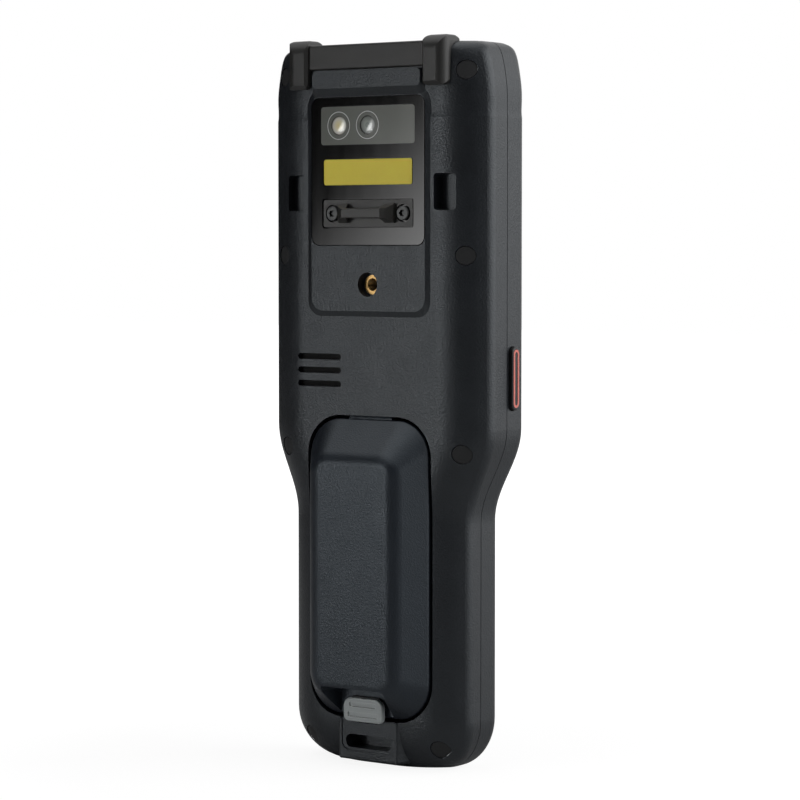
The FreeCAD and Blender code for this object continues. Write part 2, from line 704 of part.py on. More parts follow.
def horn_side():
    """The horn seen from the side: it lies on the back and hooks over the top end."""
    back, front, top = BACK_Y + HORN_RISE, BACK_Y - HORN_REACH, HORN_TOP
    low_y, ledge = BACK_Y - 5.0, BODY_TOP - 2.5
    r = HORN_ROUND
    bow = r * (1 - math.sqrt(0.5))

    def at(y, z):
        return Vector(-HORN_OUT - 1, y, z)

    wire = Part.Wire([
        Part.makeLine(at(low_y, HORN_LOW), at(back - 1.3, HORN_LOW)),
        Part.makeLine(at(back - 1.3, HORN_LOW), at(back, HORN_LOW + 1.3)),
        Part.makeLine(at(back, HORN_LOW + 1.3), at(back, top - r)),
        Part.Arc(at(back, top - r), at(back - bow, top - bow), at(back - r, top)).toShape(),
        Part.makeLine(at(back - r, top), at(front + 1.2, top)),
        Part.makeLine(at(front + 1.2, top), at(front, top - 1.2)),
        Part.makeLine(at(front, top - 1.2), at(front, ledge)),
        Part.makeLine(at(front, ledge), at(low_y, ledge)),
        Part.makeLine(at(low_y, ledge), at(low_y, HORN_LOW)),
    ])
    return Part.Face(wire).extrude(Vector(2 * HORN_OUT + 2, 0, 0))


def make_top_bumper():
    """Rubber guard: a bar across the back's top edge and two horns that hook over the top end."""
    pieces = []
    for side in (1, -1):
        outline = block_y(
            side * (HORN_IN + HORN_OUT) / 2, (HORN_LOW + HORN_TOP) / 2, HORN_OUT - HORN_IN, HORN_TOP - HORN_LOW,
            HORN_CORNER, BACK_Y - HORN_REACH - 1, BACK_Y + HORN_RISE + 1)
        pieces.append(horn_plan(side).common(horn_side()).common(outline))
    middle = (BUMPER_BAR_LOW + BUMPER_BAR_TOP) / 2
    bar_height = BUMPER_BAR_TOP - BUMPER_BAR_LOW
    bar = block_y(0, middle, 2 * HORN_IN + 2.0, bar_height, 0.3,
                  BACK_Y - SCAN_BACK + 0.3, BACK_Y + BUMPER_BAR_RISE)
    face = edges_at_y(BACK_Y + BUMPER_BAR_RISE)
    bar = soften(bar, 0.7, lambda e: face(e) and e.BoundBox.ZMin > BUMPER_BAR_TOP - 0.5)
    pieces.append(bar)
    whole = fused(pieces)
    for pad in rear_pads():
        whole = whole.cut(pad)
    return whole.cut(CASING)


def make_scan_window():
    """Dark pane over the scan engine, let into the top end."""
    y = BACK_Y - (SCAN_BACK + SCAN_FRONT) / 2
    depth = SCAN_FRONT - SCAN_BACK
    pane = block_z(0, y, 2 * SCAN_HALF_WIDTH, depth, 1.8, BODY_TOP - SCAN_SINK - SCAN_THICK, BODY_TOP - SCAN_SINK)
    return pane


def make_scan_engine():
    """Camera-like scan engine that looks out through the top window."""
    y = BACK_Y - (SCAN_BACK + SCAN_FRONT) / 2
    top = BODY_TOP - SCAN_SINK - SCAN_THICK - 0.2
    chassis = block_z(0, y + 0.2, 26.0, 11.4, 1.0, top - 15.0, top - 2.0)
    barrel = Part.makeCylinder(3.6, 2.0, Vector(-5.5, y, top - 2.0))
    lens_well = Part.makeCylinder(2.6, 1.5, Vector(-5.5, y, top - 1.5))
    aimer = Part.makeCylinder(1.6, 2.0, Vector(2.2, y, top - 2.0))
    lamp = block_z(8.5, y, 5.0, 6.0, 0.8, top - 2.0, top - 0.8)
    return fused([chassis, barrel, aimer, lamp]).cut(lens_well)


def make_camera_panel():
    """Glossy panel let into the pad, with seats for the window, sticker and strap plate."""
    z, height = (PANEL_LOW + PANEL_HIGH) / 2, PANEL_HIGH - PANEL_LOW
    face = BACK_Y + PAD_RISE
    panel = block_y(0, z, 2 * PANEL_HALF_WIDTH, height, PANEL_CORNER, face - PANEL_THICK, face)
    panel = soften(panel, 0.25, edges_at_y(face))
    cuts = [
        seat_y(WINDOW_HALF_WIDTH, WINDOW_LOW, WINDOW_HIGH, 1.0, face - WINDOW_THICK),
        seat_y(LABEL_HALF_WIDTH, LABEL_LOW, LABEL_HIGH, 0.8, face - LABEL_THICK - 0.1, LABEL_GAP),
        seat_y(PLATE_HALF_WIDTH, PLATE_LOW, PLATE_HIGH, 0.9, face - PLATE_THICK - 0.2, PLATE_SEAT_GAP),
        rod_y(LENS_X, OPTICS_Z, PORT_RADIUS, face - 4, face),
        rod_y(FLASH_X, OPTICS_Z, PORT_RADIUS, face - 4, face),
    ]
    return panel.cut(cuts)


def seat_y(half, low, high, corner, y_low, gap=SEAT_GAP):
    """Rounded seat cut in from the back face."""
    return block_y(0, (low + high) / 2, 2 * (half + gap), high - low + 2 * gap, corner + gap, y_low, BACK_Y + 5)


def make_camera_window():
    face = BACK_Y + PAD_RISE
    z, height = (WINDOW_LOW + WINDOW_HIGH) / 2, WINDOW_HIGH - WINDOW_LOW
    pane = block_y(0, z, 2 * WINDOW_HALF_WIDTH, height, 1.0, face - WINDOW_THICK, face - 0.05)
    return pane.cut([rod_y(x, OPTICS_Z, LENS_RADIUS + 0.1, face - 2, face + 1) for x in (LENS_X, FLASH_X)])


def optics_module(x, lens_radius):
    """Square module body with a round barrel that sits in the panel's port."""
    face = BACK_Y + PAD_RISE - WINDOW_THICK
    body = block_y(x, OPTICS_Z, 9.0, 9.0, 1.0, BACK_Y - WALL - 6.2, BACK_Y - WALL - 1.2)
    barrel = rod_y(x, OPTICS_Z, PORT_RADIUS - 0.1, BACK_Y - WALL - 1.4, face - 0.2)
    well = rod_y(x, OPTICS_Z, lens_radius, face - 1.2, face)
    return fused([body, barrel]).cut(well)


def make_lenses():
    """The camera's and the flash's lens, each domed and almost flush with the window."""
    seat, top = BACK_Y + PAD_RISE - WINDOW_THICK - 0.2, BACK_Y + PAD_RISE - 0.1
    ball_radius = (LENS_RADIUS ** 2 + LENS_RISE ** 2) / (2 * LENS_RISE)
    lenses = []
    for x in (LENS_X, FLASH_X):
        ball = Part.makeSphere(ball_radius, Vector(x, top - ball_radius, OPTICS_Z))
        lenses.append(rod_y(x, OPTICS_Z, LENS_RADIUS, seat, top + 1).common(ball))
    return Part.makeCompound(lenses)


def make_blank_label():
    face = BACK_Y + PAD_RISE - 0.1
    z, height = (LABEL_LOW + LABEL_HIGH) / 2, LABEL_HIGH - LABEL_LOW
    return block_y(0, z, 2 * LABEL_HALF_WIDTH, height, 0.8, face - LABEL_THICK, face)


def plate_face():
    return BACK_Y + PAD_RISE - 0.2


def make_strap_plate():
    z, height = (PLATE_LOW + PLATE_HIGH) / 2, PLATE_HIGH - PLATE_LOW
    plate = block_y(0, z, 2 * PLATE_HALF_WIDTH, height, 0.9, plate_face() - PLATE_THICK, plate_face())
    plate = soften(plate, 0.2, edges_at_y(plate_face()))
    holes = [rod_y(side * BAR_SCREW_X, z, 2.9, plate_face() - 3, plate_face() + 1) for side in (1, -1)]
    return plate.cut(holes)


def make_strap_bar():
    """Bent metal bridge that a strap or tether is looped under; its legs widen towards their feet."""
    z = (PLATE_LOW + PLATE_HIGH) / 2
    base, top = plate_face(), plate_face() + BAR_HEIGHT
    right = [
        Vector(BAR_HALF_SPAN, top, 0), Vector(BAR_HALF_SPAN + 1.2, top - 1.2, 0), Vector(BAR_FOOT_OUT, base + 1.5, 0),
        Vector(BAR_FOOT_OUT, base, 0), Vector(BAR_FOOT_IN, base, 0), Vector(BAR_HALF_SPAN - 1.0, top - BAR_THICK, 0),
    ]
    left = [Vector(-p.x, p.y, 0) for p in reversed(right)]
    side_view = Part.Face(Part.makePolygon(right + left + right[:1]))
    side_view.translate(Vector(0, 0, z - BAR_FOOT_WIDTH / 2))
    bar = side_view.extrude(Vector(0, 0, BAR_FOOT_WIDTH))
    wide, narrow = BAR_FOOT_WIDTH / 2, BAR_WIDTH / 2
    upper = [
        Vector(0, base, wide), Vector(0, base + 0.9, wide), Vector(0, top - BAR_THICK, narrow), Vector(0, top + 1, narrow),
    ]
    lower = [Vector(0, p.y, -p.z) for p in reversed(upper)]
    end_view = Part.Face(Part.makePolygon(upper + lower + upper[:1]))
    end_view.translate(Vector(-BAR_FOOT_OUT - 1, 0, z))
    bar = bar.common(end_view.extrude(Vector(2 * BAR_FOOT_OUT + 2, 0, 0)))
    return soften(bar, 0.35, lambda e: e.BoundBox.YMin > top - 0.01)


def lobed_recess(x, z, y_low, y_high, radius):
    """Six-lobed driver recess along Y."""
    core = rod_y(x, z, radius * 0.68, y_low, y_high)
    lobes = [
        rod_y(x + radius * 0.66 * math.cos(turn), z + radius * 0.66 * math.sin(turn), radius * 0.34, y_low, y_high)
        for turn in [math.radians(60 * k) for k in range(6)]
    ]
    return core.multiFuse(lobes)


def make_strap_screws():
    z = (PLATE_LOW + PLATE_HIGH) / 2
    floor = BACK_Y + PAD_RISE - PLATE_THICK - 0.2
    screws = []
    for side in (1, -1):
        x = side * BAR_SCREW_X
        head = rod_y(x, z, 2.35, floor, floor + 1.6)
        head = soften(head, 0.35, edges_at_y(floor + 1.6))
        screws.append(head.cut(lobed_recess(x, z, floor + 0.7, floor + 2, 1.15)))
    return Part.makeCompound(screws)


def make_threaded_insert():
    """Brass insert for a handle's screw, sunk below the pad's face."""
    low = BACK_Y - INSERT_SINK - INSERT_LENGTH
    high = BACK_Y - INSERT_SINK
    body = rod_y(0, INSERT_Z, INSERT_RADIUS - 0.02, low, high)
    body = body.cut(rod_y(0, INSERT_Z, INSERT_THREAD_RADIUS, low - 1, high + 1))
    return body.makeChamfer(0.4, [e for e in body.Edges if edges_at_y(high)(e) and e.BoundBox.XLength < 4])


def make_screw_plugs():
    """Rubber plugs over the case screws; their faces lie just under flush."""
    sunk = casing_solid(PLUG_SINK)
    plugs = []
    for x, z, seat in mirrored_places():
        plug = rod_y(x, z, PLUG_RADIUS, seat, BACK_Y + 5).common(sunk)
        plugs.append(plug)
    return Part.makeCompound(plugs)


def make_case_screws():
    screws = []
    for x, z, seat in mirrored_places():
        head = rod_y(x, z, CASE_SCREW_HEAD_RADIUS, seat - CASE_SCREW_HEAD, seat - 0.2)
        tip = front_y(z) + 3.4
        shaft = rod_y(x, z, CASE_SCREW_RADIUS - 0.02, tip, seat - CASE_SCREW_HEAD + 0.1)
        screws.append(fused([head, shaft]).cut(lobed_recess(x, z, seat - 1.0, seat + 1, 1.0)))
    return Part.makeCompound(screws)


def make_speaker():
    y = BACK_Y - WALL - 0.9
    body = block_y(SPEAKER_X, SPEAKER_Z, 21.0, 15.0, 3.0, y - SPEAKER_THICK, y)
    return body.cut(block_y(SPEAKER_X, SPEAKER_Z, 17.0, 11.0, 2.5, y - 0.6, y + 1))


def make_speaker_mesh():
    """Acoustic cloth bonded behind the slots."""
    y = BACK_Y - WALL
    return block_y(SPEAKER_X, SPEAKER_Z, 21.0, 15.0, 3.0, y - 0.9, y + 1).common(HOLLOW)


def scoop(grow):
    """Finger scoop cut in the lower end of the pack, round the latch; it flares outward."""
    floor, mouth = BACK_Y + SCOOP_FLOOR_RISE - grow, BACK_Y + PACK_RISE + 1
    half, top = SCOOP_HALF_WIDTH + grow, SCOOP_TOP + grow
    return tapered_y(PACK_LOW - 5, top, half, 1.4, floor,
                     PACK_LOW - 5, top + SCOOP_FLARE_TOP, half + SCOOP_FLARE_SIDE, 1.4, mouth)


def latch_guide(grow, high):
    """Channel under the scoop's floor in which the latch's tongue runs."""
    low = PACK_LOW - (2 if grow == 0 else 0)
    return Part.makeBox(
        2 * (TONGUE_HALF_WIDTH + 0.15 + grow), TONGUE_SINK + 0.15 + SCOOP_FLOOR_RISE + grow, high + grow - low,
        Vector(-TONGUE_HALF_WIDTH - 0.15 - grow, BACK_Y - TONGUE_SINK - 0.15 - grow, low))


def pivot_rod(radius, half_length):
    """Rod across the pack's upper end; the pack tilts out about its centre line."""
    return Part.makeCylinder(radius, 2 * half_length, Vector(-half_length, PIVOT_Y, PACK_HIGH), Vector(1, 0, 0))


def pack_form(shrink):
    """The battery pack's whole outer form, or its hollow when shrink is the wall."""
    lower = block_y(0, (PACK_LOW + PACK_HIGH) / 2, 2 * (PACK_HALF_WIDTH - shrink),
                    PACK_HIGH - PACK_LOW - 2 * shrink, PACK_CORNER - shrink,
                    WELL_FLOOR_Y + 0.3 + shrink, BACK_Y - 0.3)
    upper = tapered_y(
        PACK_LOW + shrink, PACK_HIGH - shrink, PACK_HALF_WIDTH - shrink, PACK_CORNER - shrink, BACK_Y - 0.3,
        PACK_TOP_LOW + 0.6 * shrink, PACK_TOP_HIGH - 0.6 * shrink, PACK_TOP_HALF_WIDTH - 0.6 * shrink,
        PACK_TOP_CORNER - 0.5 * shrink, BACK_Y + PACK_RISE - shrink)
    whole = lower.fuse(upper).removeSplitter()
    if shrink == 0:
        whole = soften(whole, PACK_TOP_ROUND, edges_at_y(BACK_Y + PACK_RISE))
        whole = soften(whole, 1.2, edges_at_y(BACK_Y - 0.3))
    return whole


def make_battery_shell():
    shell = pack_form(0).cut(pack_form(PACK_WALL))
    guide_high = PACK_LOW + 0.2 + LATCH_TRAVEL + 3.2
    wall = scoop(PACK_WALL).fuse(latch_guide(1.2, guide_high)).common(pack_form(0))
    shell = shell.fuse(wall).fuse(pivot_rod(PIVOT_RADIUS, PIVOT_HALF_WIDTH))
    shell = shell.cut(scoop(0)).cut(latch_guide(0, guide_high)).removeSplitter()
    contacts = [Part.makeBox(2.4, 3, 5.0, Vector(x - 1.2, WELL_FLOOR_Y - 1, 100.0)) for x in CONTACT_X]
    return shell.cut(contacts)


CONTACT_X = [-9.0, -4.5, 0.0, 4.5, 9.0]


def make_battery_contacts():
    """Gold pads in the pack's floor."""
    low = WELL_FLOOR_Y + 0.3
    return Part.makeCompound(
        [Part.makeBox(2.4, 0.5, 5.0, Vector(x - 1.2, low + PACK_WALL - 0.5, 100.0)) for x in CONTACT_X])


def make_battery_cells():
    low = WELL_FLOOR_Y + 0.3 + PACK_WALL
    cells = []
    for z in (50.0, 81.5):
        cells.append(block_x(
            low + CELL_THICK / 2, z, CELL_THICK, CELL_HEIGHT, 3.0, -CELL_HALF_WIDTH, CELL_HALF_WIDTH))
    return Part.makeCompound(cells)


def contact_block_solid(clearance):
    """Block in the well's floor that carries the spring contacts."""
    return block_y(0, 102.5, 25.0 + 2 * clearance, 8.0 + 2 * clearance, 1.0, WELL_FLOOR_Y - 5.0, WELL_FLOOR_Y)


def make_contact_block():
    block = block_y(0, 102.5, 25.0, 8.0, 1.0, WELL_FLOOR_Y - 5.0, WELL_FLOOR_Y - 0.2)
    pins = [rod_y(x, 102.5, 0.6, WELL_FLOOR_Y - 1.0, WELL_FLOOR_Y + 1.38) for x in CONTACT_X]
    return fused([block] + pins)


def make_latch_slider():
    """Black slider in the pack's scoop; its tongue points at the catch on the foot tab."""
    floor = BACK_Y + SCOOP_FLOOR_RISE + 0.15
    face = BACK_Y + LATCH_FACE_RISE - LATCH_CAP_THICK
    low, high = PACK_LOW + 0.2, SCOOP_TOP - LATCH_TRAVEL - 0.15
    body = block_y(0, (low + high) / 2, 2 * LATCH_HALF_WIDTH - 3.4, high - low, 1.6, floor, face)
    tongue_low, tongue_high = TAB_TOP - TONGUE_LENGTH, low + 3.0
    tongue = Part.makeBox(2 * TONGUE_HALF_WIDTH, TONGUE_THICK, tongue_high - tongue_low,
                          Vector(-TONGUE_HALF_WIDTH, BACK_Y - TONGUE_SINK, tongue_low))
    neck = Part.makeBox(2 * TONGUE_HALF_WIDTH, TONGUE_SINK + SCOOP_FLOOR_RISE + 0.3, tongue_high - low,
                        Vector(-TONGUE_HALF_WIDTH, BACK_Y - TONGUE_SINK, low))
    return fused([body, tongue, neck])


def make_latch_cap():
    """Grey finger pad with two grip grooves."""
    face = BACK_Y + LATCH_FACE_RISE
    low, high = LATCH_LOW, LATCH_HIGH
    z = (low + high) / 2
    pad = block_y(0, z, 2 * LATCH_HALF_WIDTH, high - low, 1.9, face - LATCH_CAP_THICK, face)
    pad = pad.common(block_y(0, z - 3, 2 * LATCH_HALF_WIDTH, high - low + 6, 3.2, face - LATCH_CAP_THICK, face))
    pad = soften(pad, 0.45, edges_at_y(face))
    grooves = [
        block_y(0, z + shift, width, 1.5, 0.45, face - 0.45, face + 1)
        for shift, width in ((1.7, 10.6), (-1.6, 12.0))
    ]
    return pad.cut(grooves)


def make_main_board():
    top = MAIN_BOARD_Y + BOARD_THICK
    head = block_y(0, 163.0, 2 * (HEAD_POST_X - 0.5), 102.0, 2.0, MAIN_BOARD_Y, top)
    grip = block_y(0, 68.0, 54.0, 104.0, 2.0, MAIN_BOARD_Y, top)
    tongue = block_y(0, 217.0, 27.0, 18.0, 1.0, MAIN_BOARD_Y, top)
    board = fused([head, grip, tongue])
    wings = [
        block_y(side * (WING_POST_X - 3.0), WING_POST_Z, 12.0, 12.0, 2.0, MAIN_BOARD_Y, top)
        for side in (1, -1)
    ]
    chips = [
        block_y(-12, 180, 16, 16, 0.3, top - 0.1, top + 1.4),
        block_y(10, 184, 12, 10, 0.3, top - 0.1, top + 1.2),
        block_y(-14, 150, 22, 14, 0.3, top - 0.1, top + 1.8),
        block_y(14, 152, 9, 9, 0.3, top - 0.1, top + 1.0),
    ]
    whole = fused([board] + wings + chips)
    return whole.cut([rod_y(x, z, 1.2, MAIN_BOARD_Y - 1, MAIN_BOARD_Y + 3) for x, z in BOARD_POSTS])


def make_board_screws():
    top = MAIN_BOARD_Y + BOARD_THICK
    screws = []
    for x, z in BOARD_POSTS:
        head = rod_y(x, z, 1.9, top, top + 1.1)
        shaft = rod_y(x, z, 0.98, top - 4.4, top + 0.1)
        screws.append(fused([head, shaft]).cut(lobed_recess(x, z, top + 0.5, top + 2, 0.8)))
    return Part.makeCompound(screws)


def make_keypad_mat():
    z, height = (MAT_LOW + MAT_HIGH) / 2, MAT_HIGH - MAT_LOW
    return block_y(0, z, 2 * MAT_HALF_WIDTH, height, 3.0, MAT_Y, MAT_Y + MAT_THICK)


def make_keypad_board():
    z, height = (MAT_LOW + MAT_HIGH) / 2, MAT_HIGH - MAT_LOW
    board = block_y(0, z, 2 * MAT_HALF_WIDTH, height, 3.0, MAT_Y + MAT_THICK, MAT_Y + MAT_THICK + 0.8)
    link = block_y(0, 66.0, 18.0, 5.0, 0.5, MAT_Y + MAT_THICK + 0.7, MAIN_BOARD_Y)
    return fused([board, link])


def make_touch_glass():
    z, height = (GLASS_LOW + GLASS_HIGH) / 2, GLASS_HIGH - GLASS_LOW
    y = FRONT_HEAD_Y + GLASS_SINK
    glass = block_y(0, z, 2 * GLASS_HALF_WIDTH, height, GLASS_CORNER - GLASS_GAP, y, y + GLASS_THICK)
    return glass.makeChamfer(0.3, [e for e in glass.Edges if edges_at_y(y)(e)])


def make_display():
    z, height = (DISPLAY_LOW + DISPLAY_HIGH) / 2, DISPLAY_HIGH - DISPLAY_LOW
    y = FRONT_HEAD_Y + GLASS_SINK + GLASS_THICK
    return block_y(0, z, 2 * DISPLAY_HALF_WIDTH, height, 0.8, y, y + DISPLAY_THICK)


def make_display_frame():
    """Metal tray behind the display, which also stiffens the head."""
    z, height = (DISPLAY_LOW + DISPLAY_HIGH) / 2, DISPLAY_HIGH - DISPLAY_LOW
    y = FRONT_HEAD_Y + GLASS_SINK + GLASS_THICK + DISPLAY_THICK
    tray = block_y(0, z, 2 * DISPLAY_HALF_WIDTH + 5, height + 5, 2.0, y, y + 0.8)
    rim = block_y(0, z, 2 * DISPLAY_HALF_WIDTH + 5, height + 5, 2.0, FRONT_HEAD_Y + 3.4, y + 0.1)
    rim = rim.cut(block_y(0, z, 2 * DISPLAY_HALF_WIDTH + 1, height + 1, 1.0, FRONT_HEAD_Y, y + 2))
    return fused([tray, rim])


def make_status_light():
    y = FRONT_HEAD_Y
    return rod_y(STATUS_X, STATUS_Z, 1.2, y + 0.05, y + WALL + 2.0)


def make_microphone():
    y = FRONT_GRIP_Y + WALL
    return block_y(0, MIC_Z, 3.6, 2.6, 0.4, y, y + 1.4)


def side_key_axis_y():
    return BACK_Y - SIDE_KEY_DEPTH


def side_key_hole(side):
    x = side * HEAD_HALF_WIDTH
    width, height = SIDE_KEY_WIDTH + 2 * SIDE_KEY_GAP, SIDE_KEY_HEIGHT + 2 * SIDE_KEY_GAP
    return block_x(side_key_axis_y(), SIDE_KEY_Z, width, height, 2.2,
                   min(x - side * 4, x + side * 3), max(x - side * 4, x + side * 3))


def make_side_key(side):
    """Pill-shaped scan key that slides into the side wall, with a groove for its coloured ring."""
    y, z = side_key_axis_y(), SIDE_KEY_Z
    face = HEAD_HALF_WIDTH + SIDE_KEY_RISE
    inner = HEAD_HALF_WIDTH - WALL - 0.15
    cap = block_x(y, z, SIDE_KEY_WIDTH, SIDE_KEY_HEIGHT, 2.05, inner - 0.9, face)
    cap = soften(cap, 0.5, lambda e: e.BoundBox.XMin > face - 0.01)
    flange = block_x(y, z, SIDE_KEY_WIDTH + 1.4, SIDE_KEY_HEIGHT + 2.4, 2.4, inner - 0.9, inner)
    key = fused([cap, flange]).cut(side_ring_form(0.0))
    return key if side > 0 else key.mirror(Vector(0, 0, 0), Vector(1, 0, 0))


def side_ring_form(shrink):
    y, z = side_key_axis_y(), SIDE_KEY_Z
    face = HEAD_HALF_WIDTH + SIDE_KEY_RISE
    outer = block_x(y, z, 3.1 - shrink, 18.6 - shrink, 1.5 - shrink / 2, face - 0.5, face + 0.12)
    inner = block_x(y, z, 1.5 + shrink, 17.0 + shrink, 0.74 + shrink / 2, face - 1, face + 1)
    return outer.cut(inner)


def make_side_ring(side):
    ring = side_ring_form(0.02)
    return ring if side > 0 else ring.mirror(Vector(0, 0, 0), Vector(1, 0, 0))


def make_side_switches():
    """Small boards with a push switch behind each side key."""
    pieces = []
    for side in (1, -1):
        x = HEAD_HALF_WIDTH - WALL - 0.15 - 0.9 - SIDE_KEY_TRAVEL - 0.1
        switch = block_x(side_key_axis_y(), SIDE_KEY_Z, 3.2, 6.0, 0.4, x - 1.2, x)
        board = block_x(side_key_axis_y() - 0.2, SIDE_KEY_Z, 5.5, 24.0, 0.5, x - 2.0, x - 1.1)
        both = fused([switch, board])
        pieces.append(both if side > 0 else both.mirror(Vector(0, 0, 0), Vector(1, 0, 0)))
    return Part.makeCompound(pieces)


def key_list():
    """Name, x, z, width, height, corner radius of every key on the front."""
    wide, tall = KEY_SIZE
    nav = DIGIT_ROW_LOW + 4 * KEY_PITCH_Z
    keys = [
        ("key_left", -ARROW_KEY_X, SCAN_KEY_Z, ARROW_KEY_WIDTH, tall, 2.4),
        ("key_scan", 0, SCAN_KEY_Z, SCAN_KEY_SIZE[0], SCAN_KEY_SIZE[1], 4.5),
        ("key_right", ARROW_KEY_X, SCAN_KEY_Z, ARROW_KEY_WIDTH, tall, 2.4),
        ("key_up", -KEY_PITCH_X, nav, wide, tall, 2.4),
        ("key_enter", 0, nav, wide, tall, 2.4),
        ("key_down", KEY_PITCH_X, nav, wide, tall, 2.4),
    ]
    digits = [("1", "2", "3"), ("4", "5", "6"), ("7", "8", "9"), ("clear", "0", "shift")]
    for k, names in enumerate(digits):
        row = DIGIT_ROW_LOW + (3 - k) * KEY_PITCH_Z
        for column, name in enumerate(names):
            keys.append((f"key_{name}", (column - 1) * KEY_PITCH_X, row, wide, tall, 2.4))
    return keys


KEYS = key_list()


def key_hole(spec):
    name, x, z, width, height, corner = spec
    return block_y(x, z, width + 2 * KEY_GAP, height + 2 * KEY_GAP, corner + KEY_GAP,
                   FRONT_HEAD_Y - 3, FRONT_GRIP_Y + WALL + 1.2)


def make_key(spec):
    """Keycap through the front wall, with a flange behind it and a stem that reaches the mat."""
    name, x, z, width, height, corner = spec
    face = front_y(z) - KEY_RISE
    behind = front_y(z - height / 2 - KEY_FLANGE) + WALL + 0.15
    foot = MAT_Y - KEY_TRAVEL - 0.1
    cap = block_y(x, z, width, height, corner, face, behind + 0.1)
    cap = soften(cap, 0.7, edges_at_y(face))
    flange_end = min(behind + KEY_FLANGE_THICK, foot)
    flange = block_y(x, z, width + 2 * KEY_FLANGE, height + 2 * KEY_FLANGE, corner + KEY_FLANGE, behind, flange_end)
    pieces = [cap, flange]
    if foot - flange_end > 0.05:
        pieces.append(block_y(x, z, width * 0.5, height * 0.5, 1.0, flange_end - 0.1, foot))
    return fused(pieces)


def export(name, shape):
    """Writes one sub-part as STEP and prints its volume and number of solids."""
    solids = shape.Solids
    shape = solids[0] if len(solids) == 1 else Part.makeCompound(solids)
    shape.exportStep(f"parts/{name}.step")
    valid = all(s.isValid() for s in solids)
    print(f"{name}: {len(solids)} solids, {sum(s.Volume for s in solids):.1f} mm3, valid {valid}")


def main():
    print(f"casing {CASING.Volume:.0f} mm3, hollow {HOLLOW.Volume:.0f} mm3")
    export("rear_housing", make_rear_housing())
    export("front_housing", make_front_housing())
    export("housing_seal", make_housing_seal())
    export("top_bumper", make_top_bumper())
    export("scan_window", make_scan_window())
    export("scan_engine", make_scan_engine())
    export("camera_panel", make_camera_panel())
    export("camera_window", make_camera_window())
    export("camera_module", optics_module(LENS_X, 2.2))
    export("flash_module", optics_module(FLASH_X, 2.6))
    export("camera_lenses", make_lenses())
    export("blank_label", make_blank_label())
    export("strap_plate", make_strap_plate())
    export("strap_bar", make_strap_bar())
    export("strap_screws", make_strap_screws())
    export("threaded_insert", make_threaded_insert())
    export("screw_plugs", make_screw_plugs())
    export("case_screws", make_case_screws())
    export("speaker", make_speaker())
    export("speaker_mesh", make_speaker_mesh())
    export("battery_shell", make_battery_shell())
    export("battery_cells", make_battery_cells())
    export("battery_contacts", make_battery_contacts())
    export("contact_block", make_contact_block())
    export("latch_slider", make_latch_slider())
    export("latch_cap", make_latch_cap())
    export("main_board", make_main_board())
    export("board_screws", make_board_screws())
    export("keypad_mat", make_keypad_mat())
    export("keypad_board", make_keypad_board())
    export("touch_glass", make_touch_glass())
    export("display", make_display())
    export("display_frame", make_display_frame())
    export("status_light", make_status_light())
    export("microphone", make_microphone())
    export("side_key_right", make_side_key(1))
    export("side_key_left", make_side_key(-1))
    export("side_ring_right", make_side_ring(1))
    export("side_ring_left", make_side_ring(-1))
    export("side_switches", make_side_switches())
    export("dock_connector", make_dock_connector())
    export("dock_contacts", make_dock_contacts())
    for spec in KEYS:
        export(spec[0], make_key(spec))


main()
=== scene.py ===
# %% [markdown]
# # A handheld barcode terminal, seen from its battery side
# The casing, battery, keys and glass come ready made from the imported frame. This notebook gives each of
# them its finish and adds what is too small or too thin for the frame: printed legends and rings, a cut
# thread, lamps and a camera. Everything is in metres, +Z runs up the terminal, and +Y points out of its
# battery side.

# %% The frame
import bpy
import bmesh
import math
from mathutils import Matrix, Vector


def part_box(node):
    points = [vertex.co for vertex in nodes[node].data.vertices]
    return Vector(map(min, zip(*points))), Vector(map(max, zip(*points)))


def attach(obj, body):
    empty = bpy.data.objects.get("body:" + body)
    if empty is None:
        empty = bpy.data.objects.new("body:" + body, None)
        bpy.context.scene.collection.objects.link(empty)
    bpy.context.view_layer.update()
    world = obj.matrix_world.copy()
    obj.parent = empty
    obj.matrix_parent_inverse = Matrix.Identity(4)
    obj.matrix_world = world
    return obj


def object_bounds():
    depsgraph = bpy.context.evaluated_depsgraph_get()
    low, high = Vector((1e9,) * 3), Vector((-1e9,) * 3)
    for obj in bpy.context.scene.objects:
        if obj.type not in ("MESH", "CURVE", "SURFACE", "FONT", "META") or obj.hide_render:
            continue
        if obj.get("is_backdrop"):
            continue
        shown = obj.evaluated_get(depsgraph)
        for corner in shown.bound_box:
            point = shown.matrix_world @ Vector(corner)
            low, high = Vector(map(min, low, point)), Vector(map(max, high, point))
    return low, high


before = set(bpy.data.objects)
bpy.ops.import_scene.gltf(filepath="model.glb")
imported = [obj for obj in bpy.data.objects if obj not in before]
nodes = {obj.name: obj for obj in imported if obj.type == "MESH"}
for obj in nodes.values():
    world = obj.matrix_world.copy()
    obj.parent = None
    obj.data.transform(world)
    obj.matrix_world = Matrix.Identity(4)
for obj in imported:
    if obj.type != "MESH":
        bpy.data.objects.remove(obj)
cad_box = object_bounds()
print("frame nodes:", len(nodes), "height:", round(cad_box[1].z, 4))

# %% [markdown]
# ## The camera
# A long lens almost a metre away, a little above the middle and turned 36 degrees round the battery side,
# keeps the terminal's long edges almost parallel. A short lens close by would spread them. The place was
# found by fitting the edges of the real object.

# %% Camera
camera_data = bpy.data.cameras.new("studio_camera")
camera_data.lens = 128.9
camera_data.sensor_width = 36.0
camera = bpy.data.objects.new("studio_camera", camera_data)
bpy.context.scene.collection.objects.link(camera)
camera.location = (-0.54644, 0.75390, 0.16961)
look_at = Vector((-0.00498, -0.0017, 0.11906))
camera.rotation_mode = "QUATERNION"
camera.rotation_quaternion = (look_at - camera.location).to_track_quat("-Z", "Y")
bpy.context.scene.camera = camera
print("camera distance:", round((look_at - camera.location).length, 3))

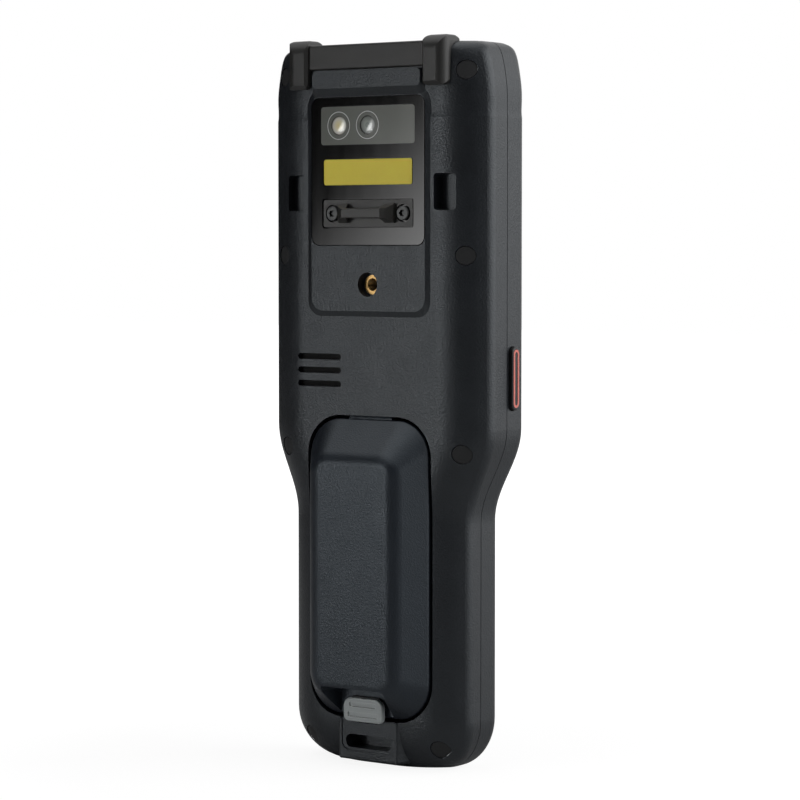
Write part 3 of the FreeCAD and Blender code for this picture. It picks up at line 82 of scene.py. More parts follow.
# %% [markdown]
# ## Node helpers
# Each finish is a small graph of shader nodes. Written out link by link, a graph is long to read, so
# these helpers add a node, link it and give back its result, and the cells below stay short.

# %% Starting a finish
def new_finish(name):
    """An empty material with its shader, its output and Object coordinates."""
    finish = bpy.data.materials.new(name)
    finish.use_nodes = True
    tree = finish.node_tree
    tree.nodes.clear()
    output = tree.nodes.new("ShaderNodeOutputMaterial")
    shader = tree.nodes.new("ShaderNodeBsdfPrincipled")
    place = tree.nodes.new("ShaderNodeTexCoord")
    tree.links.new(shader.outputs["BSDF"], output.inputs["Surface"])
    return finish, tree, shader, place.outputs["Object"]


def show_instead(tree, surface):
    """Sends another surface to a material's output."""
    output = [node for node in tree.nodes if node.type == "OUTPUT_MATERIAL"][0]
    tree.links.new(surface, output.inputs["Surface"])


def grey(level):
    """A colour with no tint."""
    return (level, level, level)


def shade(colour, factor):
    """The same colour, darker or lighter by a factor."""
    return tuple(min(c * factor, 1.0) for c in colour)


print("finish helpers ready")

# %% Patterns and colours
# The Mix node has sockets for numbers and vectors too, so its colour sockets are found by their places.
COLOUR_SHARE, FIRST_COLOUR, SECOND_COLOUR, MIXED_COLOUR = 0, 6, 7, 2


def noise(tree, place, size, detail=2.0):
    """Noise whose blotches are about size metres across."""
    node = tree.nodes.new("ShaderNodeTexNoise")
    node.inputs["Scale"].default_value = 1.0 / size
    node.inputs["Detail"].default_value = detail
    tree.links.new(place, node.inputs["Vector"])
    return node.outputs["Fac"]


def stretched(tree, place, scale):
    """Scales each axis: a pattern grows long where the scale is small, and narrow where it is large."""
    node = tree.nodes.new("ShaderNodeMapping")
    node.inputs["Scale"].default_value = scale
    tree.links.new(place, node.inputs["Vector"])
    return node.outputs["Vector"]


def ramp(tree, value, stops):
    """Turns a value into a colour by a few stops of (position, colour)."""
    node = tree.nodes.new("ShaderNodeValToRGB")
    while len(node.color_ramp.elements) < len(stops):
        node.color_ramp.elements.new(0.5)
    for element, (position, colour) in zip(node.color_ramp.elements, stops):
        element.position = position
        element.color = (*colour, 1.0)
    tree.links.new(value, node.inputs["Fac"])
    return node.outputs["Color"]


def blend_colours(tree, share, first, second):
    """Mixes two colours by a share; each may be a colour or a socket."""
    node = tree.nodes.new("ShaderNodeMix")
    node.data_type = "RGBA"
    tree.links.new(share, node.inputs[COLOUR_SHARE])
    for socket, colour in ((FIRST_COLOUR, first), (SECOND_COLOUR, second)):
        if isinstance(colour, tuple):
            node.inputs[socket].default_value = (*colour, 1.0)
        else:
            tree.links.new(colour, node.inputs[socket])
    return node.outputs[MIXED_COLOUR]


def bump(tree, height, depth):
    """Turns a height between 0 and 1 into a shading normal, depth metres high."""
    node = tree.nodes.new("ShaderNodeBump")
    node.inputs["Strength"].default_value = 1.0
    node.inputs["Distance"].default_value = depth
    tree.links.new(height, node.inputs["Height"])
    return node.outputs["Normal"]


print("pattern helpers ready")

# %% Numbers and shaders
def calculate(tree, operation, first, second):
    """One step of arithmetic; each of its two terms may be a number or a socket."""
    node = tree.nodes.new("ShaderNodeMath")
    node.operation = operation
    for socket, term in zip(node.inputs, (first, second)):
        if isinstance(term, float):
            socket.default_value = term
        else:
            tree.links.new(term, socket)
    return node.outputs["Value"]


def vector_math(tree, operation, first, second=(0.0, 0.0, 0.0)):
    """One step on vectors. A length or a dot product gives a number, and the rest give a vector."""
    node = tree.nodes.new("ShaderNodeVectorMath")
    node.operation = operation
    tree.links.new(first, node.inputs[0])
    if isinstance(second, tuple):
        node.inputs[1].default_value = second
    else:
        tree.links.new(second, node.inputs[1])
    result = "Value" if operation in ("LENGTH", "DOT_PRODUCT") else "Vector"
    return node.outputs[result]


def rescale(tree, value, low, high, start=0.0, end=1.0):
    """Turns start into low and end into high, evenly in between and held beyond them."""
    node = tree.nodes.new("ShaderNodeMapRange")
    for socket, number in (("From Min", start), ("From Max", end), ("To Min", low), ("To Max", high)):
        node.inputs[socket].default_value = number
    tree.links.new(value, node.inputs["Value"])
    return node.outputs["Result"]


def blend_surfaces(tree, share, first, second):
    """Mixes two surfaces or two lights by a share."""
    node = tree.nodes.new("ShaderNodeMixShader")
    for socket, source in zip(node.inputs, (share, first, second)):
        tree.links.new(source, socket)
    return node.outputs["Shader"]


print("number helpers ready")

# %% [markdown]
# ## Worn edges with a painted highlight
# Plastic wears pale along its sharp edges first, and the same paler edges are also a painted highlight
# along them. The edges could be picked out by hand in the mesh, but the Bevel node finds them: it gives
# the normal of a rounded edge, which leans away from the face's own normal only near an edge.

# %% Worn edges with a painted highlight
EDGE_RADIUS = 0.0005
FLAT_DOT, EDGE_DOT = 0.99, 0.75


def edge_wear_and_highlight_share(tree, strength):
    """Share of paler colour for wear and a painted highlight: 0 on flat faces, up to strength near sharp
    edges.
    """
    rounded = tree.nodes.new("ShaderNodeBevel")
    rounded.samples = 4
    rounded.inputs["Radius"].default_value = EDGE_RADIUS
    own = tree.nodes.new("ShaderNodeNewGeometry")
    lean = vector_math(tree, "DOT_PRODUCT", rounded.outputs["Normal"], own.outputs["Normal"])
    return rescale(tree, lean, 0.0, strength, FLAT_DOT, EDGE_DOT)


# The width of the paler edges, which are wear and a painted highlight.
print("worn_and_highlit edge width in mm:", EDGE_RADIUS * 1000)

# %% [markdown]
# ## Moulded plastic
# Terminals of this kind are moulded in a tool with a spark-eroded surface, so the plastic has a fine
# grain, and its tone and gloss are a little uneven where hands have rubbed it. Noises of four sizes make
# that. The bump and the pale flecks are as fine as the grain, the gloss changes over about a centimetre
# and the tone over about two. A texture picture would do it as well, but noise has no seams.

# %% Moulded plastic
TONE_PATCH, GLOSS_PATCH = 0.018, 0.009
FLECK_TO_GRAIN = 0.8
# Sharp edges go paler by the second factor, as wear and as a painted highlight.
FLECK_PALER, EDGE_WEAR_AND_HIGHLIGHT_PALER = 1.5, 2.4
GLOSS_SPREAD = 0.05


def moulded(name, colour, roughness, grain, depth, spread=0.12, edge=0.0, sheen=grey(1.0)):
    """Grained plastic: grain and depth in metres, spread varies the tone, edge pales edges (wear, painted
    highlight).
    """
    finish, tree, shader, place = new_finish(name)
    shader.inputs["Specular Tint"].default_value = (*sheen, 1.0)
    patches = noise(tree, place, TONE_PATCH, detail=3.0)
    tone = ramp(tree, patches, [(0.3, shade(colour, 1 - spread)), (0.7, shade(colour, 1 + spread))])
    specks = noise(tree, place, grain * FLECK_TO_GRAIN, detail=1.0)
    fleck = ramp(tree, specks, [(0.60, grey(0.0)), (0.74, grey(0.45))])
    tone = blend_colours(tree, fleck, tone, shade(colour, FLECK_PALER))
    # Paler sharp edges: wear, and a painted highlight along them.
    if edge > 0:
        tone = blend_colours(tree, edge_wear_and_highlight_share(tree, edge), tone, shade(colour, EDGE_WEAR_AND_HIGHLIGHT_PALER))
    tree.links.new(tone, shader.inputs["Base Color"])
    rubs = noise(tree, place, GLOSS_PATCH)
    gloss = rescale(tree, rubs, roughness - GLOSS_SPREAD, roughness + GLOSS_SPREAD)
    tree.links.new(gloss, shader.inputs["Roughness"])
    tree.links.new(bump(tree, noise(tree, place, grain), depth), shader.inputs["Normal"])
    return finish


charcoal = moulded("charcoal_grained_plastic", (0.0110, 0.0126, 0.0155), roughness=0.37,
                   grain=0.0006, depth=0.00012, edge=0.35, sheen=(0.90, 0.96, 1.0))
pack_charcoal = moulded("battery_grained_plastic", (0.0105, 0.0132, 0.0185), roughness=0.38,
                        grain=0.0005, depth=0.00007, edge=0.3, sheen=(0.82, 0.92, 1.0))
key_grey = moulded("satin_key_plastic", (0.060, 0.063, 0.067), roughness=0.42,
                   grain=0.0002, depth=0.000008, edge=0.3)
amber = moulded("satin_amber_plastic", (0.62, 0.33, 0.03), roughness=0.40,
                grain=0.0002, depth=0.000008, spread=0.06)
latch_grey = moulded("satin_latch_plastic", (0.42, 0.455, 0.455), roughness=0.45,
                     grain=0.00025, depth=0.00001, spread=0.06, edge=0.3)
dull_black = moulded("dull_black_plastic", (0.012, 0.012, 0.013), roughness=0.6,
                     grain=0.0004, depth=0.00002)
moulded_finishes = (charcoal, pack_charcoal, key_grey, amber, latch_grey, dull_black)
print("moulded finishes:", [finish.name for finish in moulded_finishes])

# %% [markdown]
# ## Rubber
# The bumper over the top end is softer than the casing. Its skin is smoother, warmer in tone and picks up
# dust as faint pale clouds. Plugs and side keys are the same compound with less dust. Dust could be
# scattered as specks of its own, but from arm's length only its clouds show, and noise gives them.

# %% Rubber
DUST_CLOUD = 0.006
DUST_PALER = 1.6
SKIN_GRAIN, SKIN_DEPTH = 0.0002, 0.000012


def rubber(name, colour, roughness, dust):
    """Smooth rubber with pale clouds of dust."""
    finish, tree, shader, place = new_finish(name)
    clouds = ramp(tree, noise(tree, place, DUST_CLOUD, detail=5.0), [(0.45, grey(0.0)), (0.8, grey(dust))])
    tone = blend_colours(tree, clouds, colour, shade(colour, DUST_PALER))
    tree.links.new(tone, shader.inputs["Base Color"])
    shader.inputs["Roughness"].default_value = roughness
    shader.inputs["Specular IOR Level"].default_value = 0.42
    skin = noise(tree, place, SKIN_GRAIN, detail=3.0)
    tree.links.new(bump(tree, skin, SKIN_DEPTH), shader.inputs["Normal"])
    return finish


bumper_rubber = rubber("bumper_rubber", (0.024, 0.0238, 0.0228), roughness=0.42, dust=0.35)
plug_rubber = rubber("plug_rubber", (0.011, 0.0115, 0.0125), roughness=0.6, dust=0.2)
seal_rubber = rubber("seal_rubber", (0.008, 0.008, 0.008), roughness=0.5, dust=0.1)
side_rubber = rubber("side_key_rubber", (0.012, 0.012, 0.013), roughness=0.42, dust=0.2)
mat_silicone = rubber("keypad_silicone", (0.20, 0.20, 0.20), roughness=0.5, dust=0.2)
rubber_finishes = (bumper_rubber, plug_rubber, seal_rubber, side_rubber, mat_silicone)
print("rubber finishes:", [finish.name for finish in rubber_finishes])

# %% [markdown]
# ## Gloss and glass
# The rear panel is polished acrylic, printed black behind. The touch glass and the scan pane are tinted
# almost black. All of them show fine rub marks in the gloss. Marks cut in the mesh would be far too fine,
# so a stretched noise drives the roughness, and the colour hardly changes.

# %% Gloss and glass
TINT_PATCH = 0.03
RUB_WIDTH = 0.003
RUB_SCALE = (1.0, 1.0, 0.15)


def glossy(name, colour, low, high, coat=0.0):
    """Gloss whose roughness lies between low and high."""
    finish, tree, shader, place = new_finish(name)
    patches = noise(tree, place, TINT_PATCH, detail=1.0)
    tint = ramp(tree, patches, [(0.2, shade(colour, 0.8)), (0.8, shade(colour, 1.2))])
    tree.links.new(tint, shader.inputs["Base Color"])
    rubs = noise(tree, stretched(tree, place, RUB_SCALE), RUB_WIDTH, detail=4.0)
    tree.links.new(rescale(tree, rubs, low, high), shader.inputs["Roughness"])
    shader.inputs["Coat Weight"].default_value = coat
    return finish


panel_gloss = glossy("polished_panel", (0.0025, 0.0025, 0.0025), low=0.06, high=0.12)
touch_glass = glossy("touch_glass", (0.0035, 0.004, 0.005), low=0.03, high=0.08, coat=0.3)
scan_glass = glossy("scan_glass", (0.012, 0.003, 0.004), low=0.03, high=0.08)
display_black = glossy("display_black", (0.006, 0.008, 0.012), low=0.2, high=0.3)
light_pipe = glossy("light_pipe", (0.55, 0.58, 0.56), low=0.1, high=0.2)
glossy_finishes = (panel_gloss, touch_glass, scan_glass, display_black, light_pipe)
print("glossy finishes:", [finish.name for finish in glossy_finishes])

# %% [markdown]
# ## Camera window and lenses
# The camera window is smoked grey, with two lenses in it. The camera's is pale grey coated glass with a
# slightly darker ring in it. The flash's shows the yellow phosphor that turns its blue light white. Rings
# like these could be modelled one by one, but they are only flat colour, so one finish draws both lenses by
# the distance from the middle of each.

# %% Camera window and lenses
CAMERA_X, FLASH_X, BETWEEN_LENSES = 0.0, 0.0115, 0.0058
LENS_HEIGHT, LENS_RADIUS = 0.2079, 0.00295
camera_rings = [
    (0.0, (0.42, 0.48, 0.43)),
    (0.22, (0.26, 0.30, 0.28)),
    (0.34, (0.40, 0.44, 0.41)),
    (0.85, (0.30, 0.32, 0.30)),
    (1.0, (0.03, 0.03, 0.03)),
]
flash_rings = [
    (0.0, (0.92, 0.80, 0.36)),
    (0.45, (0.95, 0.88, 0.62)),
    (0.8, (0.85, 0.84, 0.76)),
    (0.95, (0.45, 0.43, 0.36)),
    (1.0, (0.05, 0.05, 0.05)),
]


def lens_tone(tree, place, x, rings):
    """Colours by the distance from the middle of the lens at x, which is 1 at its rim."""
    away = vector_math(tree, "SUBTRACT", place, (x, 0.0, LENS_HEIGHT))
    flat = vector_math(tree, "MULTIPLY", away, (1.0 / LENS_RADIUS, 0.0, 1.0 / LENS_RADIUS))
    return ramp(tree, vector_math(tree, "LENGTH", flat), rings)


def lens_pair(name):
    """Two lenses in one finish: grey coated glass, and the flash's warm yellow phosphor."""
    finish, tree, shader, place = new_finish(name)
    axes = tree.nodes.new("ShaderNodeSeparateXYZ")
    tree.links.new(place, axes.inputs["Vector"])
    is_flash = calculate(tree, "GREATER_THAN", axes.outputs["X"], BETWEEN_LENSES)
    camera_tone = lens_tone(tree, place, CAMERA_X, camera_rings)
    flash_tone = lens_tone(tree, place, FLASH_X, flash_rings)
    tree.links.new(blend_colours(tree, is_flash, camera_tone, flash_tone), shader.inputs["Base Color"])
    shader.inputs["Roughness"].default_value = 0.25
    shader.inputs["Coat Weight"].default_value = 1.0
    return finish


window_smoke = glossy("smoked_window", (0.16, 0.17, 0.15), low=0.10, high=0.20, coat=0.3)
lens_glass = lens_pair("lens_glass")
print("window finishes:", window_smoke.name, lens_glass.name)

# %% [markdown]
# ## Metals
# Turned brass has rings round its axis, stamped steel has fine scratches along one direction, and plated
# contacts are almost plain. Scratches could be drawn in a picture for each piece. Instead, one helper
# stretches a noise along the working direction and lets it drive tone, gloss and bump, so the scratches
# stay in step.

# %% Metals
SCRATCH_WIDTH, SCRATCH_DEPTH = 0.0006, 0.000008
SMOOTHER, ROUGHER = 0.08, 0.12


def metal(name, colour, roughness, scale):
    """Metal with fine lines, which lie across the axis with the largest scale."""
    finish, tree, shader, place = new_finish(name)
    lines = noise(tree, stretched(tree, place, scale), SCRATCH_WIDTH, detail=3.0)
    tone = ramp(tree, lines, [(0.3, shade(colour, 0.75)), (0.7, shade(colour, 1.1))])
    tree.links.new(tone, shader.inputs["Base Color"])
    shader.inputs["Metallic"].default_value = 1.0
    gloss = rescale(tree, lines, roughness - SMOOTHER, roughness + ROUGHER)
    tree.links.new(gloss, shader.inputs["Roughness"])
    tree.links.new(bump(tree, lines, SCRATCH_DEPTH), shader.inputs["Normal"])
    return finish


brass = metal("turned_brass", (0.34, 0.215, 0.085), roughness=0.30, scale=(1.0, 9.0, 1.0))
gold = metal("contact_gold", (0.80, 0.58, 0.22), roughness=0.25, scale=(1.0, 1.0, 4.0))
steel = metal("zinc_steel", (0.50, 0.51, 0.53), roughness=0.32, scale=(6.0, 1.0, 1.0))
tray_metal = metal("tray_metal", (0.42, 0.43, 0.45), roughness=0.38, scale=(1.0, 1.0, 10.0))
screw_metal = metal("satin_screw_steel", (0.075, 0.077, 0.077), roughness=0.42, scale=(1.0, 1.0, 1.0))
bar_coat = moulded("powder_coated_bar", (0.020, 0.0195, 0.0180), roughness=0.42,
                   grain=0.0002, depth=0.00001, spread=0.1, edge=0.5)
metal_finishes = (brass, gold, steel, tray_metal, screw_metal, bar_coat)
print("metal finishes:", [finish.name for finish in metal_finishes])

# %% [markdown]
# ## Hidden pieces
# Boards are green solder mask over copper tracks, cells are wrapped in blue film, and the loudspeaker's
# cloth is a fine black weave. Most of them show only when the terminal is opened, so patterns that
# Blender has ready are enough: the mortar between bricks stands for tracks, and two crossed waves make
# the weave.

# %% Solder mask
TRACK_SCALE, TRACK_WIDTH = 160.0, 0.03


def solder_mask(name):
    """Green varnish with paler tracks, laid in the XZ plane that the boards stand in."""
    finish, tree, shader, place = new_finish(name)
    tracks = tree.nodes.new("ShaderNodeTexBrick")
    tracks.inputs["Scale"].default_value = TRACK_SCALE
    tracks.inputs["Color1"].default_value = (0.010, 0.080, 0.035, 1)
    tracks.inputs["Color2"].default_value = (0.014, 0.105, 0.045, 1)
    tracks.inputs["Mortar"].default_value = (0.030, 0.170, 0.080, 1)
    tracks.inputs["Mortar Size"].default_value = TRACK_WIDTH
    turn = tree.nodes.new("ShaderNodeMapping")
    turn.inputs["Rotation"].default_value = (math.radians(90), 0, 0)
    tree.links.new(place, turn.inputs["Vector"])
    tree.links.new(turn.outputs["Vector"], tracks.inputs["Vector"])
    tree.links.new(tracks.outputs["Color"], shader.inputs["Base Color"])
    shader.inputs["Roughness"].default_value = 0.3
    return finish


board_green = solder_mask("green_solder_mask")
print("board finish:", board_green.name)

# %% Speaker cloth and cell film
THREAD_PITCH, THREAD_DEPTH = 0.0004, 0.00008
WAVE_REPEAT = 0.31


def weave(name, colour):
    """Two sets of threads that cross; the Wave texture repeats about every 0.31 units at a scale of 1."""
    finish, tree, shader, place = new_finish(name)
    bands = []
    for axis in ("X", "Z"):
        wave = tree.nodes.new("ShaderNodeTexWave")
        wave.bands_direction = axis
        wave.inputs["Scale"].default_value = WAVE_REPEAT / THREAD_PITCH
        tree.links.new(place, wave.inputs["Vector"])
        bands.append(wave.outputs["Fac"])
    threads = calculate(tree, "MULTIPLY", bands[0], bands[1])
    tone = ramp(tree, threads, [(0.0, shade(colour, 0.4)), (0.8, shade(colour, 1.6))])
    tree.links.new(tone, shader.inputs["Base Color"])
    shader.inputs["Roughness"].default_value = 0.85
    tree.links.new(bump(tree, threads, THREAD_DEPTH), shader.inputs["Normal"])
    return finish


mesh_cloth = weave("speaker_cloth", (0.010, 0.010, 0.010))
cell_film = moulded("blue_cell_film", (0.03, 0.12, 0.30), roughness=0.3,
                    grain=0.001, depth=0.00001, spread=0.1)
print("cloth and film:", mesh_cloth.name, cell_film.name)

# %% [markdown]
# ## Print
# The sticker is matte yellow vinyl, and the ring on each side key is coral plastic. Legends and rings are
# pad printed, a few hundredths of a millimetre thick, in an ink that is never quite even. All of them are
# as smooth as fine plastic, so they use its helper with a shallow grain.

# %% Print
label_yellow = moulded("label_yellow", (1.0, 0.78, 0.045), roughness=0.45,
                       grain=0.0003, depth=0.000004, spread=0.05)
coral = moulded("coral_ring_plastic", (0.78, 0.20, 0.16), roughness=0.4,
                grain=0.0003, depth=0.000006, spread=0.06)
white_ink = moulded("white_ink", (0.80, 0.81, 0.80), roughness=0.55,
                    grain=0.0002, depth=0.000004, spread=0.04)
border_ink = moulded("border_ink", (0.010, 0.010, 0.010), roughness=0.5,
                     grain=0.0003, depth=0.000004)
print("print finishes:", [finish.name for finish in (label_yellow, coral, white_ink, border_ink)])

# %% [markdown]
# ## Dressing the frame
# Every node of the frame keeps its shape and gets the finish of the real piece. The finishes could be put
# on one by one, but a table of names is quicker to read and to change. The grey keycaps aren't in it,
# because grey is what a node gets when the table doesn't name it.

# %% Dressing the frame
finishes = {
    "rear_housing": charcoal, "front_housing": charcoal, "housing_seal": seal_rubber,
    "top_bumper": bumper_rubber, "scan_window": scan_glass, "scan_engine": dull_black,
    "camera_panel": panel_gloss, "camera_window": window_smoke, "camera_lenses": lens_glass,
    "camera_module": dull_black, "flash_module": dull_black, "blank_label": label_yellow,
    "strap_plate": bar_coat, "strap_bar": bar_coat, "strap_screws": screw_metal,
    "threaded_insert": brass, "screw_plugs": plug_rubber, "case_screws": steel,
    "speaker": dull_black, "speaker_mesh": mesh_cloth, "microphone": tray_metal,
    "battery_shell": pack_charcoal, "battery_cells": cell_film, "battery_contacts": gold,
    "contact_block": dull_black, "latch_slider": dull_black, "latch_cap": latch_grey,
    "main_board": board_green, "board_screws": steel, "keypad_board": board_green,
    "keypad_mat": mat_silicone, "touch_glass": touch_glass, "display": display_black,
    "display_frame": tray_metal, "status_light": light_pipe, "key_scan": amber,
    "side_key_right": side_rubber, "side_key_left": side_rubber, "side_switches": board_green,
    "side_ring_right": coral, "side_ring_left": coral,
    "dock_connector": dull_black, "dock_contacts": gold,
}
for name, thing in nodes.items():
    thing.data.materials.clear()
    thing.data.materials.append(finishes.get(name, key_grey))
print("dressed nodes:", len(nodes), "grey keys among them:", len(set(nodes) - set(finishes)))

# %% [markdown]
# ## Making a piece
# A new piece starts as a bmesh, which its own cell shapes. What comes after is the same for all of them,
# so it is one helper: it turns the faces outwards, gives the piece a finish and lets it ride on the body
# that it is fixed to. The other two turn a flat drawing into a thin print, and lay it on the battery
# side.

# %% Making a piece
PRINT_THICKNESS = 0.00003


def piece(name, shape, finish, body):
    """Makes a finished bmesh a piece of the terminal."""
    bmesh.ops.recalc_face_normals(shape, faces=shape.faces)
    mesh = bpy.data.meshes.new(name)
    shape.to_mesh(mesh)
    shape.free()
    thing = bpy.data.objects.new(name, mesh)
    bpy.context.scene.collection.objects.link(thing)
    mesh.materials.append(finish)
    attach(thing, body)
    return thing


def thicken(shape):
    """Gives a flat drawing in XY the thickness of a print along +Z."""
    grown = bmesh.ops.extrude_face_region(shape, geom=shape.faces[:])
    raised = [v for v in grown["geom"] if isinstance(v, bmesh.types.BMVert)]
    bmesh.ops.translate(shape, vec=(0, 0, PRINT_THICKNESS), verts=raised)
    return shape


def on_back(x, y, z):
    """Takes a shape drawn flat in XY, facing +Z, to a place on the battery side, facing +Y."""
    return Matrix.Translation((x, y, z)) @ Matrix.Rotation(math.radians(-90), 4, "X")


print("print thickness in mm:", PRINT_THICKNESS * 1000)

# %% [markdown]
# ## Rings round the two ports
# The window carries a thin white ring round the flash and another round the camera. They could be painted
# in the window's finish, but a washer as thin as the print keeps its edge sharp from any distance.

# %% Port rings
RING_OUTER, RING_INNER = 0.0045, 0.0043
RING_SINK = 0.000005


def flat_ring(outer, inner):
    """A washer: a circle drawn inwards to a smaller one, then thickened."""
    shape = bmesh.new()
    bmesh.ops.create_circle(shape, segments=96, radius=outer)
    grown = bmesh.ops.extrude_edge_only(shape, edges=shape.edges[:])
    verts = [v for v in grown["geom"] if isinstance(v, bmesh.types.BMVert)]
    bmesh.ops.scale(shape, vec=(inner / outer, inner / outer, 1), verts=verts)
    return thicken(shape)


window_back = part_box("camera_window")[1].y
for name, x in (("port_ring_flash", FLASH_X), ("port_ring_camera", CAMERA_X)):
    ring = flat_ring(RING_OUTER, RING_INNER)
    bmesh.ops.transform(ring, matrix=on_back(x, window_back - RING_SINK, LENS_HEIGHT), verts=ring.verts)
    piece(name, ring, white_ink, "casing")
print("rings on the window at y =", round(window_back, 5))

# %% [markdown]
# ## Legends on the keys
# The digits and signs are pad printed on the keycaps. A text curve gives the digits, because a font
# already has good outlines. The arrows start as a circle of three corners, and the scan sign is a row of
# bars. Each print rides with its own key, so it goes down when the key does.

# %% Printing on a key
LEGEND_SINK = 0.00001


def on_key(key, shape, name, finish=white_ink):
    """Lays a flat drawing on a keycap's face, with its origin at the middle of the face."""
    low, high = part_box(key)
    centre = Matrix.Translation(((low.x + high.x) / 2, low.y + LEGEND_SINK, (low.z + high.z) / 2))
    upright = Matrix.Rotation(math.radians(90), 4, "X")
    bmesh.ops.transform(shape, matrix=centre @ upright, verts=shape.verts)
    return piece(name, shape, finish, key)


print("a legend stands proud by, in mm:", round((PRINT_THICKNESS - LEGEND_SINK) * 1000, 3))

# %% Digits
DIGIT_SIZE = 0.0072


def digit(text):
    """A digit as a thin print, centred on the origin."""
    curve = bpy.data.curves.new("digit_" + text, "FONT")
    curve.body = text
    curve.size = DIGIT_SIZE
    curve.resolution_u = 4
    writing = bpy.data.objects.new("digit_" + text, curve)
    bpy.context.scene.collection.objects.link(writing)
    bpy.context.view_layer.update()
    mesh = bpy.data.meshes.new_from_object(writing.evaluated_get(bpy.context.evaluated_depsgraph_get()))
    shape = bmesh.new()
    shape.from_mesh(mesh)
    bpy.data.objects.remove(writing)
    xs = [v.co.x for v in shape.verts]
    ys = [v.co.y for v in shape.verts]
    to_origin = (-(min(xs) + max(xs)) / 2, -(min(ys) + max(ys)) / 2, 0)
    bmesh.ops.remove_doubles(shape, verts=shape.verts, dist=1e-6)
    bmesh.ops.translate(shape, vec=to_origin, verts=shape.verts)
    return thicken(shape)


digits = [on_key("key_" + number, digit(number), "legend_" + number) for number in "0123456789"]
print("digits printed:", len(digits))

# %% Drawing signs
STROKE = 0.0007


def set_down(shape, verts, x, y, turn):
    """Turns a few corners of a drawing about its origin, in degrees, then moves them by x and y."""
    turned = Matrix.Rotation(math.radians(turn), 3, "Z")
    bmesh.ops.rotate(shape, cent=(0, 0, 0), matrix=turned, verts=verts)
    bmesh.ops.translate(shape, vec=(x, y, 0), verts=verts)


def add_bar(shape, x, y, width, height, turn=0):
    """Adds one flat bar to a drawing."""
    bar = bmesh.ops.create_grid(shape, x_segments=1, y_segments=1, size=0.5)
    bmesh.ops.scale(shape, vec=(width, height, 1), verts=bar["verts"])
    set_down(shape, bar["verts"], x, y, turn)


def add_arrowhead(shape, x, y, radius, turn):
    """Adds a triangle that points up when turn is 0."""
    head = bmesh.ops.create_circle(shape, cap_ends=True, segments=3, radius=radius)
    set_down(shape, head["verts"], x, y, turn)


print("stroke in mm:", STROKE * 1000)

# %% Arrows, enter, clear and shift
ARROW_RADIUS = 0.0023
signs = []
for key, turn in (("key_up", 0), ("key_left", 90), ("key_down", 180), ("key_right", 270)):
    arrow = bmesh.new()
    add_arrowhead(arrow, 0, 0, ARROW_RADIUS, turn)
    signs.append(on_key(key, thicken(arrow), "legend" + key[3:]))

enter = bmesh.new()
add_bar(enter, x=0.0008, y=-0.0010, width=0.0044, height=STROKE)
add_bar(enter, x=0.00265, y=0.0004, width=STROKE, height=0.0028)
add_arrowhead(enter, x=-0.0019, y=-0.0010, radius=0.0014, turn=90)
signs.append(on_key("key_enter", thicken(enter), "legend_enter"))

cross = bmesh.new()
for turn in (45, 135):
    add_bar(cross, x=0, y=0, width=0.0046, height=STROKE, turn=turn)
signs.append(on_key("key_clear", thicken(cross), "legend_clear"))

shift = bmesh.new()
add_arrowhead(shift, x=0, y=0.0006, radius=0.0020, turn=0)
add_bar(shift, x=0, y=-0.0012, width=0.0013, height=0.0020)
signs.append(on_key("key_shift", thicken(shift), "legend_shift"))
print("signs printed:", [sign.name for sign in signs])

# %% The scan sign
BAR_UNIT, BAR_HEIGHT = 0.0001, 0.0052
FIRST_BAR_X = -0.0042
bars_and_spaces = ((5, 4), (3, 3), (8, 5), (3, 4), (5, 3), (3, 5), (9, 3), (3, 0))
scan_sign = bmesh.new()
at = FIRST_BAR_X
for bar, space in bars_and_spaces:
    add_bar(scan_sign, at + bar * BAR_UNIT / 2, 0, bar * BAR_UNIT, BAR_HEIGHT)
    at += (bar + space) * BAR_UNIT
on_key("key_scan", thicken(scan_sign), "legend_scan", border_ink)
print("bars in the scan sign:", len(bars_and_spaces))

# %% [markdown]
# ## The thread in the brass insert
# The frame's insert has a plain bore. The real one is cut with a screw thread. A bump in the finish would
# look flat from the side, so a small three-cornered ridge is spun round the bore with a rise per step,
# the way a lathe cuts it.

# %% Insert thread
PITCH, TURNS, STEPS = 0.0007, 7, 28
FOOT_RADIUS, CREST_RADIUS, HALF_FOOT = 0.00168, 0.00140, 0.00026
INSERT_HEIGHT = 0.1566
LEAD_IN = 0.0004
insert_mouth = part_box("threaded_insert")[1].y
outline = ((FOOT_RADIUS, 0, -HALF_FOOT), (CREST_RADIUS, 0, 0), (FOOT_RADIUS, 0, HALF_FOOT))
thread = bmesh.new()
ridge = [thread.verts.new(corner) for corner in outline]
sides = [thread.edges.new((ridge[k], ridge[(k + 1) % 3])) for k in range(3)]
bmesh.ops.spin(thread, geom=ridge + sides, cent=(0, 0, 0), axis=(0, 0, 1), dvec=(0, 0, PITCH / STEPS),
               angle=math.radians(360 * TURNS), steps=STEPS * TURNS, use_merge=False)
bmesh.ops.holes_fill(thread, edges=[e for e in thread.edges if e.is_boundary], sides=3)
deepest = insert_mouth - LEAD_IN - PITCH * TURNS
bmesh.ops.transform(thread, matrix=on_back(0, deepest, INSERT_HEIGHT), verts=thread.verts)
piece("insert_thread", thread, brass, "casing")
print("thread turns:", TURNS, "from y =", round(deepest, 4))

# %% [markdown]
# ## Lamps, floor and background
# Dark plastic shows what it reflects. A large softbox with a soft slanting edge stands where the flat
# back looks, so the back goes grey and the polished panel fades from black to grey. A dark card round the
# camera makes the deep band where the side turns towards it, another stands to the left, and a lamp
# behind the right side draws the pale edge. Lamps alone would leave the plastic black between their
# highlights. The room looks white to the camera and in gloss but gives only a faint light.

# %% Room
ROOM_LIGHT, ROOM_WHITE = 0.12, 1.0


def white_light(tree, strength):
    """Even white light from all round."""
    node = tree.nodes.new("ShaderNodeBackground")
    node.inputs["Color"].default_value = (1, 1, 1, 1)
    node.inputs["Strength"].default_value = strength
    return node.outputs["Background"]


